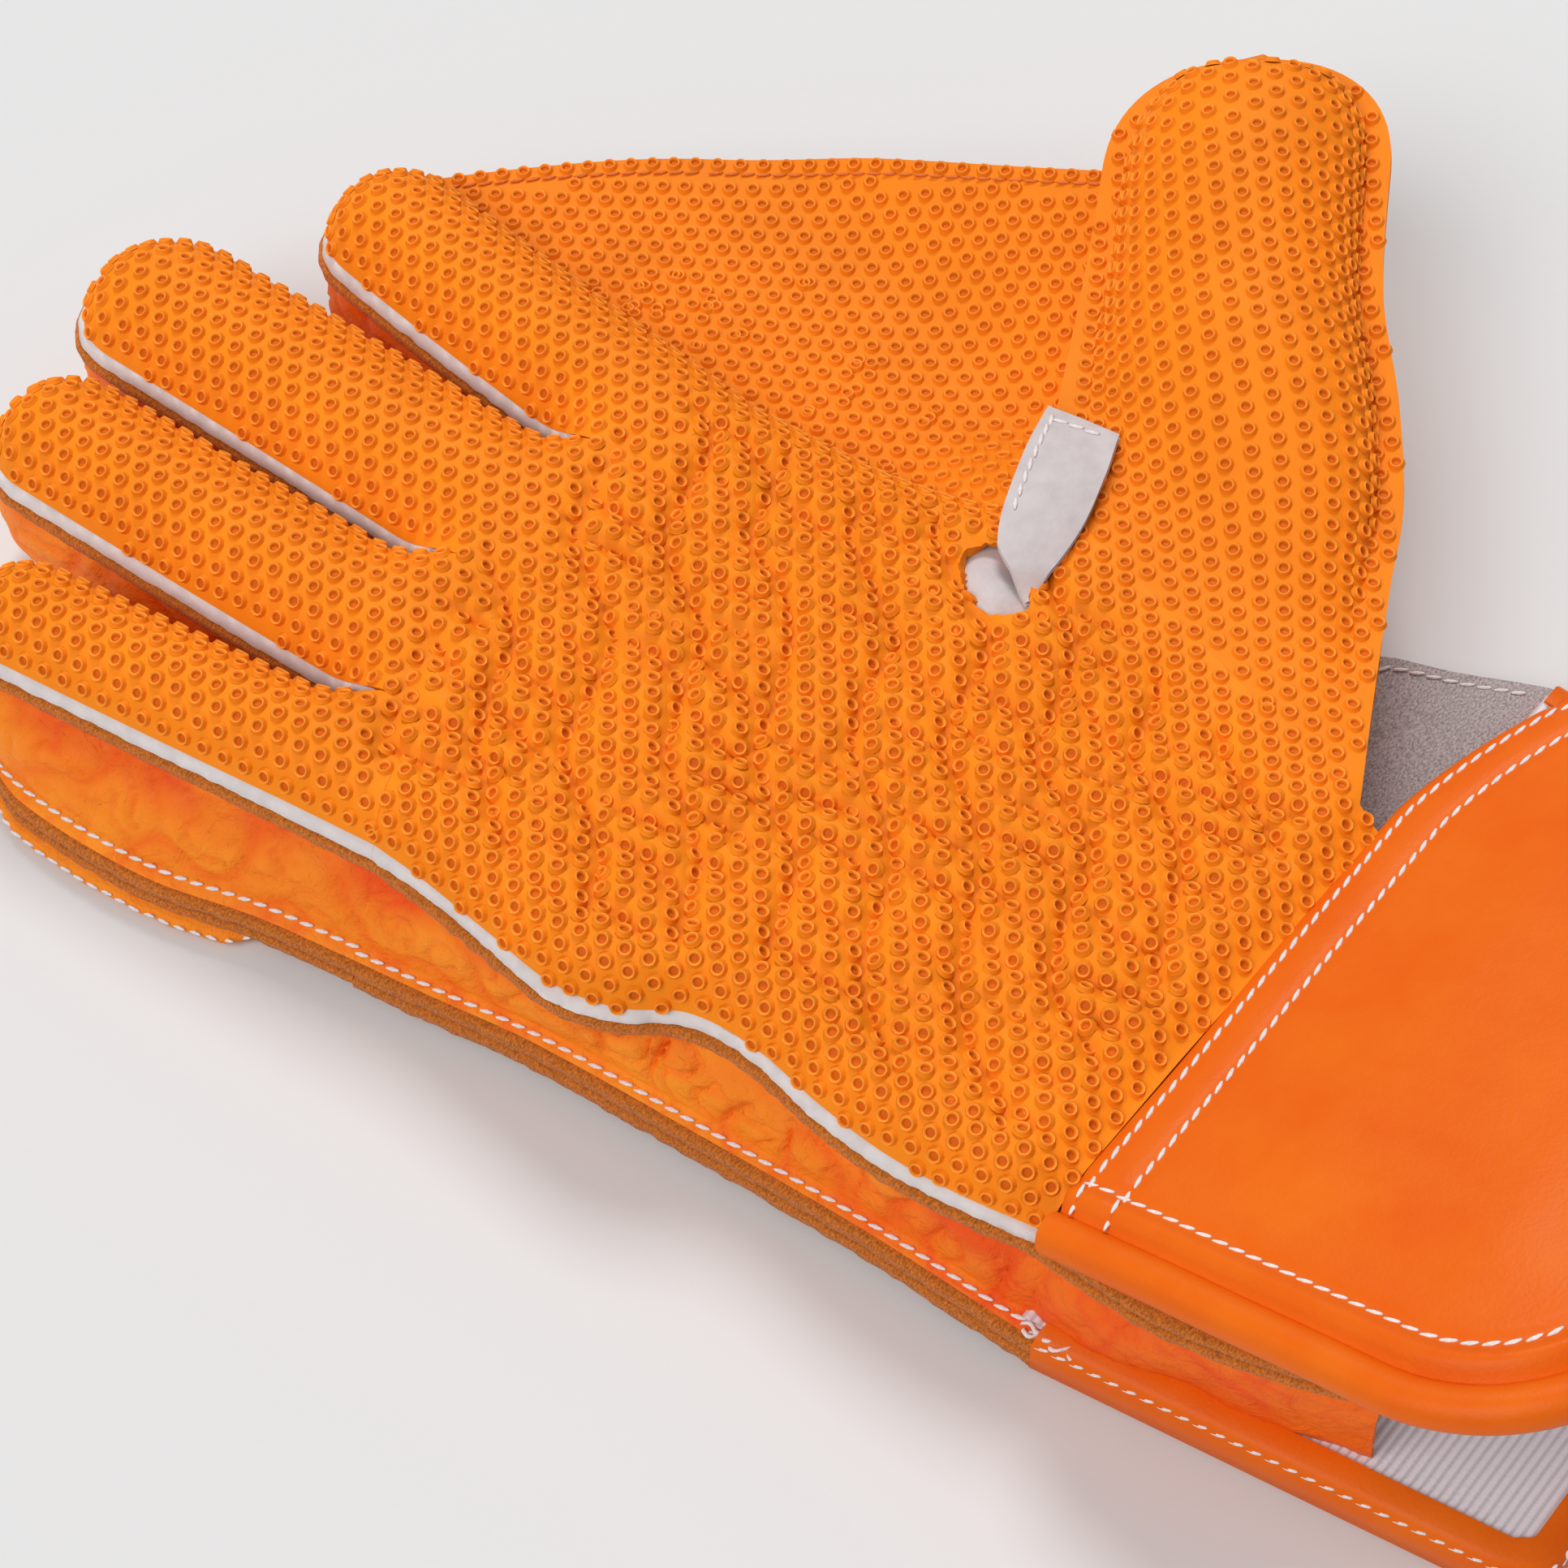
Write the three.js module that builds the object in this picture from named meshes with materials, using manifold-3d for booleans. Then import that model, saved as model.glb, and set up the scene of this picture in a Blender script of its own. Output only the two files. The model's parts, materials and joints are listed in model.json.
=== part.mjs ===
// Wicket keeping glove for the right hand, lying on its back with the palm up.
// Millimetres. +X points to the thumb side, +Y to the fingertips, +Z up out of the palm.
// The origin lies on the flat underside of the back panel, below the middle of the palm.

import * as THREE from "three";
import { mergeVertices } from "three/addons/utils/BufferGeometryUtils.js";
import Module from "manifold-3d";

const wasm = await Module();
wasm.setup();

// Layers, from the back of the hand up to the rubber
const BACK_LEATHER = 2.0;
const BACK_FOAM = 5.5;
const BACK_LINING = 1.2;
const HAND_ROOM = 18;
const PALM_LINING = 1.6;
const FACING_HEIGHT = 12;
const RUBBER = 2.2;
const FACING_ROUND = 10;
const FACING_ROUND_SHARE = 0.33;
const GUSSET = 1.8;
const GUSSET_INSET = 0.6;
const WELT = 0.8;
const BACK_FLANGE = 5;
const BACK_ROUND = 5;
const BACK_ROUND_SHARE = 0.25;
const TIP_GUARD = 1.6;
const TIP_GUARD_REACH = 20;

// Clearances
const GAP = 0.3;
const HINGE_GAP = 0.6;

// Palm
const WRIST_SEAM_Y = -75;
const WRIST_WIDTH = 102;
const OUTER_BULGE = 61;
const OUTER_BULGE_Y = -25;
const KNUCKLES_LEFT = -66.5;
const FINGER_GAP = 2.4;
const CROTCH_Y = 18;
const TIP_THINNING = 0.8;

// Fingers: the width at the knuckle and at the tip, the length from the knuckle, the lean from +Y towards
// the thumb in degrees, and the knuckle's place along the hand
const LITTLE_WIDTH = 22;
const LITTLE_TIP_WIDTH = 21;
const LITTLE_LENGTH = 73;
const LITTLE_LEAN = -9;
const LITTLE_KNUCKLE_Y = 76;
const RING_WIDTH = 28;
const RING_TIP_WIDTH = 27;
const RING_LENGTH = 89;
const RING_LEAN = -3;
const RING_KNUCKLE_Y = 86;
const MIDDLE_WIDTH = 33;
const MIDDLE_TIP_WIDTH = 31;
const MIDDLE_LENGTH = 99;
const MIDDLE_LEAN = 0;
const MIDDLE_KNUCKLE_Y = 87;
const INDEX_WIDTH = 29;
const INDEX_TIP_WIDTH = 29;
const INDEX_LENGTH = 79;
const INDEX_LEAN = 5;
const INDEX_KNUCKLE_Y = 85;

// Thumb: it folds on a line that starts beside the wrist seam and leans towards the thumb
const FOLD_FOOT_X = 55;
const FOLD_LEAN = 15;
const THUMB_LIFT = 13;
const THUMB_ROOT = 53;
const THUMB_TURN = 45;
const THUMB_WIDTH = 61;
const THUMB_TIP_WIDTH = 55;
const THUMB_LENGTH = 117;

// Web between the index finger and the thumb
const WEB_RUBBER = 2.4;
const WEB_BACKING = 1.6;
const WEB_DROP = 10;
const WEB_INDEX_REACH = 71;
const WEB_THUMB_REACH = 95;

// Loop tab and the slot that it enters
const TAB_X = 39;
const TAB_Y = 5;
const TAB_LENGTH = 32;
const TAB_WIDTH = 14;
const TAB_THICK = 2.4;
const SLOT_MARGIN = 1.5;

// Cuffs
const CUFF_LEATHER = 1.8;
const CUFF_FOAM = 7;
const CUFF_LINING = 1.2;
const CUFF_BINDING = 6;
const CUFF_CORNER = 14;
const PALM_CUFF_LENGTH = 85;
const PALM_CUFF_LIFT = 20;
const PALM_CUFF_THUMB_REACH = 86;
const PALM_CUFF_STEP = 8;
const BACK_CUFF_LENGTH = 88;
const BACK_CUFF_OVERHANG = 1;
const BACK_CUFF_TAPER = 10;
const BACK_CUFF_THUMB_REACH = 104;
const CUFF_GUSSET_LENGTH = 56;
const CUFF_GUSSET_HEIGHT = 15;
const FLARE_TOP_X = 98;
const FLARE_RISE = 25;
const FLARE_CLEAR = 13.5;
const FLARE_NECK = 2.5;

// Drawing resolution, and a length past every edge of the glove for cutting and extending
const ARC_STEPS = 5;
const BEVEL_STEPS = 3;
const REACH = 600;
const EXTEND = 30;

const FINISHES = {
  rubber: new THREE.MeshStandardMaterial({ color: 0xf7861c, roughness: 0.62, metalness: 0 }),
  leather: new THREE.MeshStandardMaterial({ color: 0xf2702a, roughness: 0.5, metalness: 0 }),
  white_leather: new THREE.MeshStandardMaterial({ color: 0xf1ece2, roughness: 0.6, metalness: 0 }),
  suede: new THREE.MeshStandardMaterial({ color: 0xd9d5cc, roughness: 0.9, metalness: 0 }),
  knit: new THREE.MeshStandardMaterial({ color: 0xeceae4, roughness: 0.95, metalness: 0 }),
  foam: new THREE.MeshStandardMaterial({ color: 0xe9dfc4, roughness: 0.9, metalness: 0 }),
  plastic: new THREE.MeshStandardMaterial({ color: 0xe7e3d8, roughness: 0.45, metalness: 0 }),
};

// Heights of the layers above the resting plane
const backFoamLow = BACK_LEATHER + GAP;
const backLiningLow = backFoamLow + BACK_FOAM + GAP;
const handFloor = backLiningLow + BACK_LINING;
const handCeiling = handFloor + HAND_ROOM;
const facingLow = handCeiling + PALM_LINING + GAP;
const facingTop = facingLow + FACING_HEIGHT;
const rollTop = handFloor - GAP;
const webTop = facingTop - WEB_DROP;

const radians = THREE.MathUtils.degToRad;

// The fingers from the outer edge of the hand towards the thumb
const FINGERS = [
  {
    name: "little",
    width: LITTLE_WIDTH,
    tipWidth: LITTLE_TIP_WIDTH,
    length: LITTLE_LENGTH,
    lean: LITTLE_LEAN,
    knuckle: LITTLE_KNUCKLE_Y,
  },
  {
    name: "ring",
    width: RING_WIDTH,
    tipWidth: RING_TIP_WIDTH,
    length: RING_LENGTH,
    lean: RING_LEAN,
    knuckle: RING_KNUCKLE_Y,
  },
  {
    name: "middle",
    width: MIDDLE_WIDTH,
    tipWidth: MIDDLE_TIP_WIDTH,
    length: MIDDLE_LENGTH,
    lean: MIDDLE_LEAN,
    knuckle: MIDDLE_KNUCKLE_Y,
  },
  {
    name: "index",
    width: INDEX_WIDTH,
    tipWidth: INDEX_TIP_WIDTH,
    length: INDEX_LENGTH,
    lean: INDEX_LEAN,
    knuckle: INDEX_KNUCKLE_Y,
  },
];

// Turns a closed three.js geometry into a solid that can be cut and joined.
function solidOf(geometry) {
  geometry.deleteAttribute("normal");
  geometry.deleteAttribute("uv");
  const merged = mergeVertices(geometry);
  return new wasm.Manifold(new wasm.Mesh({
    numProp: 3,
    vertProperties: merged.attributes.position.array,
    triVerts: Uint32Array.from(merged.index.array),
  }));
}

// Names a solid and gives it a finish.
function piece(name, solid, finish) {
  const mesh = solid.getMesh();
  const geometry = new THREE.BufferGeometry();
  geometry.setAttribute("position", new THREE.BufferAttribute(mesh.vertProperties, 3));
  geometry.setIndex(new THREE.BufferAttribute(mesh.triVerts, 1));
  geometry.computeVertexNormals();
  const made = new THREE.Mesh(geometry, FINISHES[finish]);
  made.name = name;
  return made;
}

// A box between two corners.
function block(low, high) {
  const size = high.clone().sub(low);
  const geometry = new THREE.BoxGeometry(size.x, size.y, size.z);
  geometry.translate(low.x + size.x / 2, low.y + size.y / 2, low.z + size.z / 2);
  return solidOf(geometry);
}

// Everything on one side of a plane across an axis: below the value, or above it.
function below(axis, value) {
  const high = new THREE.Vector3(REACH, REACH, REACH);
  high[axis] = value;
  return block(new THREE.Vector3(-REACH, -REACH, -REACH), high);
}

function above(axis, value) {
  const low = new THREE.Vector3(-REACH, -REACH, -REACH);
  low[axis] = value;
  return block(low, new THREE.Vector3(REACH, REACH, REACH));
}

// Points of a drawn shape, counter-clockwise, with no point twice.
function pointsOf(shape) {
  const points = shape.getPoints(ARC_STEPS);
  const closed = points[0].distanceTo(points[points.length - 1]) < GAP / 10;
  return closed ? points.slice(0, -1) : points;
}

// Moves every edge of a counter-clockwise outline outwards by a distance, or inwards if it is negative.
function offsetOutline(points, distance) {
  const count = points.length;
  return points.map((point, i) => {
    const before = point.clone().sub(points[(i + count - 1) % count]).normalize();
    const after = points[(i + 1) % count].clone().sub(point).normalize();
    const outward = new THREE.Vector2(before.y + after.y, -before.x - after.x).normalize();
    const mitre = outward.x * after.y - outward.y * after.x;
    return point.clone().addScaledVector(outward, distance / mitre);
  });
}

// Turns points about the origin and then moves them; a positive lean tips +Y towards +X.
function placed(points, lean, x, y) {
  const centre = new THREE.Vector2(0, 0);
  const move = new THREE.Vector2(x, y);
  return points.map((point) => point.clone().rotateAround(centre, -radians(lean)).add(move));
}

// A plate with square edges.
function plate(points, low, high) {
  const geometry = new THREE.ExtrudeGeometry(new THREE.Shape(points), {
    depth: high - low,
    bevelEnabled: false,
  });
  geometry.translate(0, 0, low);
  return solidOf(geometry);
}

// A plate whose top and bottom edges are rounded.
function roundedPlate(points, low, high, wide, tall) {
  const geometry = new THREE.ExtrudeGeometry(new THREE.Shape(points), {
    depth: high - low - 2 * tall,
    bevelThickness: tall,
    bevelSize: wide,
    bevelOffset: -wide,
    bevelSegments: BEVEL_STEPS,
  });
  geometry.translate(0, 0, low + tall);
  return solidOf(geometry);
}

// A cushion with a rounded top edge and a flat underside.
function pillow(points, low, high, wide) {
  const tall = Math.min(wide, high - low);
  return roundedPlate(points, low - 2 * tall, high, wide, tall).subtract(below("z", low));
}

// A wall that follows an outline, inside it.
function wall(points, inset, thick, low, high) {
  const outside = plate(offsetOutline(points, -inset), low, high);
  return outside.subtract(plate(offsetOutline(points, -inset - thick), low - GAP, high + GAP));
}

// The outline of a finger along +Y, with a round tip, lengthened backwards past its knuckle.
function stallOutline(width, tipWidth, length, back) {
  const tip = tipWidth / 2;
  const shape = new THREE.Shape();
  shape.moveTo(-width / 2, -back);
  shape.lineTo(width / 2, -back);
  shape.lineTo(width / 2, 0);
  shape.lineTo(tip, length - tip);
  shape.absarc(0, length - tip, tip, 0, Math.PI, false);
  shape.lineTo(-width / 2, 0);
  shape.closePath();
  return pointsOf(shape);
}

// Thins the pieces of a finger along +Y towards its tip, from the resting plane up.
function thinTowardsTip(group, length) {
  for (const mesh of group.children) {
    const position = mesh.geometry.attributes.position;
    for (let i = 0; i < position.count; i += 1) {
      const share = position.getY(i) / length;
      position.setZ(i, position.getZ(i) * (1 - (1 - TIP_THINNING) * share));
    }
    mesh.geometry.computeVertexNormals();
  }
}

// The pieces of one finger or thumb stall, kept outside the cut and with the guard inside the tip.
function addStall(group, name, outline, narrowest, cut, tip) {
  const round = Math.min(FACING_ROUND, narrowest * FACING_ROUND_SHARE);
  const backRound = Math.min(BACK_ROUND, narrowest * BACK_ROUND_SHARE);
  const inside = offsetOutline(outline, -RUBBER);
  const filling = offsetOutline(outline, -RUBBER - GAP);
  const facing = pillow(outline, facingLow, facingTop, round)
    .subtract(pillow(inside, facingLow - GAP, facingTop - RUBBER, round - RUBBER));
  const padding = pillow(filling, facingLow, facingTop - RUBBER - GAP, round - RUBBER);
  const lining = plate(offsetOutline(outline, WELT), handCeiling, handCeiling + PALM_LINING);
  const gusset = wall(outline, GUSSET_INSET, GUSSET, handFloor, handCeiling - GAP);
  const roll = roundedPlate(outline, 0, rollTop, backRound, rollTop / 2 - GAP);
  const guardInset = GUSSET_INSET + GUSSET + GAP;
  const guard = wall(outline, guardInset, TIP_GUARD, handFloor, handCeiling - GAP);
  group.add(piece(`${name}_facing`, facing.subtract(cut), "rubber"));
  group.add(piece(`${name}_padding`, padding.subtract(cut), "foam"));
  group.add(piece(`${name}_lining`, lining.subtract(cut), "white_leather"));
  group.add(piece(`${name}_gusset`, gusset.subtract(cut), "leather"));
  group.add(piece(`${name}_back_roll`, roll.subtract(cut), "leather"));
  group.add(piece(`${name}_tip_guard`, guard.intersect(tip), "plastic"));
}

// The fingers stand side by side from the outer edge of the hand.
function placeFingers() {
  let left = KNUCKLES_LEFT;
  return FINGERS.map((finger) => {
    const x = left + finger.width / 2;
    left += finger.width + FINGER_GAP;
    return { ...finger, x };
  });
}

const fingers = placeFingers();
const littleFinger = fingers[0];
const indexFinger = fingers[fingers.length - 1];

function fingerOutline(finger) {
  return stallOutline(finger.width, finger.tipWidth, finger.length, EXTEND);
}

function onGlove(finger, points) {
  return placed(points, finger.lean, finger.x, finger.knuckle);
}

function fingerPoint(finger, across, along) {
  return onGlove(finger, [new THREE.Vector2(across, along)])[0];
}

// The thumb's fold line has its own frame: x beside the line, y along it from its foot at the wrist.
const foldFoot = new THREE.Vector2(FOLD_FOOT_X, WRIST_SEAM_Y);

function fromFold(points) {
  return placed(points, FOLD_LEAN, foldFoot.x, foldFoot.y);
}

function toFold(points) {
  const moved = points.map((point) => point.clone().sub(foldFoot));
  return placed(moved, -FOLD_LEAN, 0, 0);
}

function foldPoint(beside, along) {
  return fromFold([new THREE.Vector2(beside, along)])[0];
}

const thumbHalfBase = THUMB_WIDTH / 2 / Math.sin(radians(THUMB_TURN));
const foldLow = THUMB_ROOT - thumbHalfBase;
const foldHigh = THUMB_ROOT + thumbHalfBase;
const thumbShape = stallOutline(THUMB_WIDTH, THUMB_TIP_WIDTH, THUMB_LENGTH, THUMB_WIDTH + EXTEND);
const thumbOutline = placed(thumbShape, THUMB_TURN, 0, THUMB_ROOT);

function thumbPoint(across, along) {
  return fromFold(placed([new THREE.Vector2(across, along)], THUMB_TURN, 0, THUMB_ROOT))[0];
}

// The palm, counter-clockwise from the outer end of the wrist. Past is how far it runs on beyond
// the wrist, the knuckles and the thumb's fold, where the real edge is a seam to another piece.
function palmOutline(past) {
  const seamBack = HINGE_GAP / 2;
  const wristY = WRIST_SEAM_Y + seamBack;
  const innerKnuckle = fingerPoint(indexFinger, indexFinger.width / 2, -seamBack);
  const outerKnuckle = fingerPoint(littleFinger, -littleFinger.width / 2, -seamBack);
  const foldTop = foldPoint(-seamBack, foldHigh);
  const corners = [];
  for (const finger of [...fingers].reverse()) {
    const right = finger.width / 2 + (finger === indexFinger ? 0 : WELT + GAP);
    const left = finger.width / 2 + (finger === littleFinger ? 0 : WELT + GAP);
    corners.push(fingerPoint(finger, right, past - seamBack));
    corners.push(fingerPoint(finger, -left, past - seamBack));
  }
  const shape = new THREE.Shape();
  shape.moveTo(-WRIST_WIDTH / 2, wristY - past);
  shape.lineTo(WRIST_WIDTH / 2, wristY - past);
  for (const along of [foldLow, foldHigh]) {
    const point = foldPoint(past - seamBack, along);
    shape.lineTo(point.x, point.y);
  }
  if (past > 0) shape.lineTo(foldTop.x, foldTop.y);
  shape.quadraticCurveTo(innerKnuckle.x, CROTCH_Y, innerKnuckle.x, (CROTCH_Y + innerKnuckle.y) / 2);
  if (past > 0) {
    shape.lineTo(innerKnuckle.x, innerKnuckle.y);
    shape.lineTo(corners[0].x, corners[0].y);
    shape.lineTo(corners[corners.length - 1].x, corners[corners.length - 1].y);
    shape.lineTo(outerKnuckle.x, outerKnuckle.y);
  } else {
    corners.forEach((corner) => shape.lineTo(corner.x, corner.y));
  }
  shape.quadraticCurveTo(-OUTER_BULGE, OUTER_BULGE_Y, -WRIST_WIDTH / 2, wristY);
  shape.closePath();
  return pointsOf(shape);
}

const palmEdge = palmOutline(0);
const palmEnvelope = palmOutline(EXTEND);
const palmKeep = plate(palmEdge, -REACH, REACH);
const pastFold = plate(fromFold([
  new THREE.Vector2(-HINGE_GAP / 2, -REACH),
  new THREE.Vector2(REACH, -REACH),
  new THREE.Vector2(REACH, REACH),
  new THREE.Vector2(-HINGE_GAP / 2, REACH),
]), -REACH, REACH);

// The ground in front of each knuckle, past the fold and past the wrist, which the palm leaves free
function seamCuts() {
  const fronts = fingers.map((finger) => {
    const right = finger.width / 2 + WELT + GAP;
    const left = finger === littleFinger ? REACH : right;
    return plate(onGlove(finger, [
      new THREE.Vector2(-left, -HINGE_GAP / 2),
      new THREE.Vector2(right, -HINGE_GAP / 2),
      new THREE.Vector2(right, EXTEND),
      new THREE.Vector2(-left, EXTEND),
    ]), -REACH, REACH);
  });
  const wrist = below("y", WRIST_SEAM_Y + HINGE_GAP / 2);
  return fronts.reduce((all, front) => all.add(front), pastFold.add(wrist));
}

const cuts = seamCuts();

// Slot for the loop tab, across the tab
const slot = block(
  new THREE.Vector3(
    TAB_X - TAB_THICK / 2 - SLOT_MARGIN,
    TAB_Y - TAB_WIDTH / 2 - SLOT_MARGIN,
    facingLow - GAP,
  ),
  new THREE.Vector3(
    TAB_X + TAB_THICK / 2 + SLOT_MARGIN,
    TAB_Y + TAB_WIDTH / 2 + SLOT_MARGIN,
    REACH,
  ),
);

// Rubber, foam and white leather lining of the palm
function addPalmFace(glove) {
  const inside = offsetOutline(palmEnvelope, -RUBBER);
  const filling = offsetOutline(palmEnvelope, -RUBBER - GAP);
  const facing = pillow(palmEnvelope, facingLow, facingTop, FACING_ROUND)
    .subtract(pillow(inside, facingLow - GAP, facingTop - RUBBER, FACING_ROUND - RUBBER));
  const padding = pillow(filling, facingLow, facingTop - RUBBER - GAP, FACING_ROUND - RUBBER);
  const lining = plate(offsetOutline(palmEdge, WELT), handCeiling, handCeiling + PALM_LINING);
  glove.add(piece("palm_facing", facing.intersect(palmKeep).subtract(slot), "rubber"));
  glove.add(piece("palm_padding", padding.intersect(palmKeep).subtract(slot), "foam"));
  glove.add(piece("palm_lining", lining.subtract(cuts), "white_leather"));
}

// Back of the hand: leather, foam and lining, with the flare beside the wrist on the thumb side
function addBack(glove) {
  const wristY = WRIST_SEAM_Y + HINGE_GAP / 2;
  const thumbRoom = plate(offsetOutline(fromFold(thumbOutline), FLARE_CLEAR), -GAP, REACH);
  const neck = plate([
    new THREE.Vector2(0, wristY),
    new THREE.Vector2(FLARE_TOP_X, wristY),
    new THREE.Vector2(FLARE_TOP_X, wristY + FLARE_NECK),
    new THREE.Vector2(0, wristY + FLARE_NECK),
  ], 0, BACK_LEATHER);
  const flare = plate([
    new THREE.Vector2(WRIST_WIDTH / 2, wristY),
    new THREE.Vector2(BACK_CUFF_THUMB_REACH, wristY),
    new THREE.Vector2(FLARE_TOP_X, WRIST_SEAM_Y + FLARE_RISE),
  ], 0, BACK_LEATHER).subtract(thumbRoom).add(neck);
  const flangeEnd = littleFinger.x + littleFinger.width / 2;
  const outerFlange = plate(offsetOutline(palmEdge, BACK_FLANGE), 0, BACK_LEATHER)
    .subtract(above("x", flangeEnd))
    .subtract(above("y", littleFinger.knuckle));
  const panel = plate(palmEdge, 0, BACK_LEATHER).add(outerFlange).subtract(cuts).add(flare);
  const sideRoom = offsetOutline(palmEnvelope, -GUSSET_INSET - GUSSET - GAP);
  const padding = plate(sideRoom, backFoamLow, backFoamLow + BACK_FOAM);
  const lining = plate(sideRoom, backLiningLow, handFloor);
  const palmSide = plate(offsetOutline(palmEdge, GAP), 0, REACH);
  const flareLining = flare.translate(0, 0, BACK_LEATHER + GAP).subtract(palmSide);
  glove.add(piece("back_panel", panel, "leather"));
  glove.add(piece("back_padding", padding.intersect(palmKeep), "foam"));
  glove.add(piece("back_lining", lining.intersect(palmKeep), "suede"));
  glove.add(piece("wrist_lining", flareLining, "suede"));
}

// Leather side walls of the palm: the outer one below the little finger, the other below the web
function addPalmGussets(glove) {
  const allRound = wall(palmEnvelope, GUSSET_INSET, GUSSET, backFoamLow, handCeiling - GAP);
  const walls = allRound.intersect(palmKeep);
  glove.add(piece("outer_gusset", walls.subtract(above("x", 0)), "leather"));
  glove.add(piece("web_gusset", walls.subtract(below("x", 0)), "leather"));
}

// White leather strap that lies on the palm and turns down into the slot
function addLoopTab(glove) {
  const runLow = facingTop + GAP;
  const runTop = runLow + TAB_THICK;
  const legLeft = TAB_X - TAB_THICK / 2;
  const legRight = TAB_X + TAB_THICK / 2;
  const profile = new THREE.Shape();
  profile.moveTo(legLeft, facingLow);
  profile.lineTo(legRight, facingLow);
  profile.lineTo(legRight, runLow);
  profile.lineTo(TAB_X + TAB_LENGTH, runLow);
  profile.lineTo(TAB_X + TAB_LENGTH, runTop);
  profile.lineTo(legRight, runTop);
  profile.quadraticCurveTo(legLeft, runTop, legLeft, runLow);
  profile.closePath();
  const geometry = new THREE.ExtrudeGeometry(new THREE.Shape(pointsOf(profile)), {
    depth: TAB_WIDTH,
    bevelEnabled: false,
  });
  geometry.rotateX(Math.PI / 2);
  geometry.translate(0, TAB_Y + TAB_WIDTH / 2, 0);
  glove.add(piece("loop_tab", solidOf(geometry), "white_leather"));
}

// The web's outline on the glove, before it is cut clear of the finger, the palm and the thumb
function webOutline() {
  return [
    fingerPoint(indexFinger, 0, 0),
    foldPoint(-thumbHalfBase / 2, THUMB_ROOT),
    foldPoint(thumbHalfBase / 2, THUMB_ROOT),
    thumbPoint(-THUMB_TIP_WIDTH / 4, WEB_THUMB_REACH),
    thumbPoint(-THUMB_TIP_WIDTH / 2, WEB_THUMB_REACH),
    fingerPoint(indexFinger, indexFinger.tipWidth / 2, WEB_INDEX_REACH),
    fingerPoint(indexFinger, 0, WEB_INDEX_REACH),
  ];
}

function webLayers(outline) {
  const faceLow = webTop - WEB_RUBBER;
  const backingTop = faceLow - GAP;
  return [
    { name: "web_face", finish: "rubber", solid: plate(outline, faceLow, webTop) },
    { name: "web_backing", finish: "leather", solid: plate(outline, backingTop - WEB_BACKING, backingTop) },
  ];
}

// The half of the web on the palm's side of the fold, clear of the index finger's way as it bends
function addInnerWeb(glove) {
  const indexHalf = indexFinger.width / 2 + WELT + HINGE_GAP;
  const indexRoom = plate(onGlove(indexFinger, [
    new THREE.Vector2(-indexHalf, -EXTEND),
    new THREE.Vector2(indexHalf, -EXTEND),
    new THREE.Vector2(indexHalf, indexFinger.length + EXTEND),
    new THREE.Vector2(-indexHalf, indexFinger.length + EXTEND),
  ]), 0, REACH);
  const palmRoom = plate(offsetOutline(palmEdge, WELT + GAP), 0, REACH);
  for (const layer of webLayers(webOutline())) {
    const solid = layer.solid.subtract(pastFold).subtract(palmRoom).subtract(indexRoom);
    glove.add(piece(`${layer.name}_inner`, solid, layer.finish));
  }
}

// The half of the web on the thumb's side, in the fold's frame
function addOuterWeb(group) {
  const thumbRoom = plate(offsetOutline(thumbOutline, WELT + GAP), 0, REACH);
  for (const layer of webLayers(toFold(webOutline()))) {
    const solid = layer.solid.subtract(below("x", HINGE_GAP / 2)).subtract(thumbRoom);
    group.add(piece(`${layer.name}_outer`, solid, layer.finish));
  }
}

function addFingers(glove) {
  for (const finger of fingers) {
    const group = new THREE.Group();
    group.position.set(finger.x, finger.knuckle, 0);
    group.rotation.z = -radians(finger.lean);
    const cut = below("y", HINGE_GAP / 2);
    const tip = above("y", finger.length - TIP_GUARD_REACH);
    addStall(group, finger.name, fingerOutline(finger), finger.tipWidth, cut, tip);
    thinTowardsTip(group, finger.length);
    glove.add(group);
  }
}

// A group that turns about an axis through a point, and whose contents keep their heights
function tilted(parent, x, y, z, turn) {
  const hinge = new THREE.Group();
  hinge.position.set(x, y, z);
  hinge.rotation.copy(turn);
  const contents = new THREE.Group();
  contents.position.z = -z;
  hinge.add(contents);
  parent.add(hinge);
  return contents;
}

// The thumb, raised about its fold line
function addThumb(glove) {
  const turn = new THREE.Euler(0, -radians(THUMB_LIFT), -radians(FOLD_LEAN), "ZYX");
  const group = tilted(glove, foldFoot.x, foldFoot.y, facingTop, turn);
  const tip = plate(placed([
    new THREE.Vector2(-THUMB_WIDTH, THUMB_LENGTH - TIP_GUARD_REACH),
    new THREE.Vector2(THUMB_WIDTH, THUMB_LENGTH - TIP_GUARD_REACH),
    new THREE.Vector2(THUMB_WIDTH, THUMB_LENGTH + EXTEND),
    new THREE.Vector2(-THUMB_WIDTH, THUMB_LENGTH + EXTEND),
  ], THUMB_TURN, 0, THUMB_ROOT), 0, REACH);
  addStall(group, "thumb", thumbOutline, THUMB_TIP_WIDTH, below("x", HINGE_GAP / 2), tip);
  addOuterWeb(group);
}

// A cuff's outline from its seam at y = 0 towards -Y, with round corners at its free end
function cuffOutline(left, leftEnd, right, rightSeam, step, length) {
  const shape = new THREE.Shape();
  shape.moveTo(-left, -HINGE_GAP / 2);
  shape.lineTo(-leftEnd, -length + CUFF_CORNER);
  shape.quadraticCurveTo(-leftEnd, -length, -leftEnd + CUFF_CORNER, -length);
  shape.lineTo(right - CUFF_CORNER, -length);
  shape.quadraticCurveTo(right, -length, right, -length + CUFF_CORNER);
  shape.lineTo(right, -HINGE_GAP / 2 - step);
  if (step > 0) shape.lineTo(rightSeam, -HINGE_GAP / 2);
  shape.closePath();
  return pointsOf(shape);
}

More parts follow.
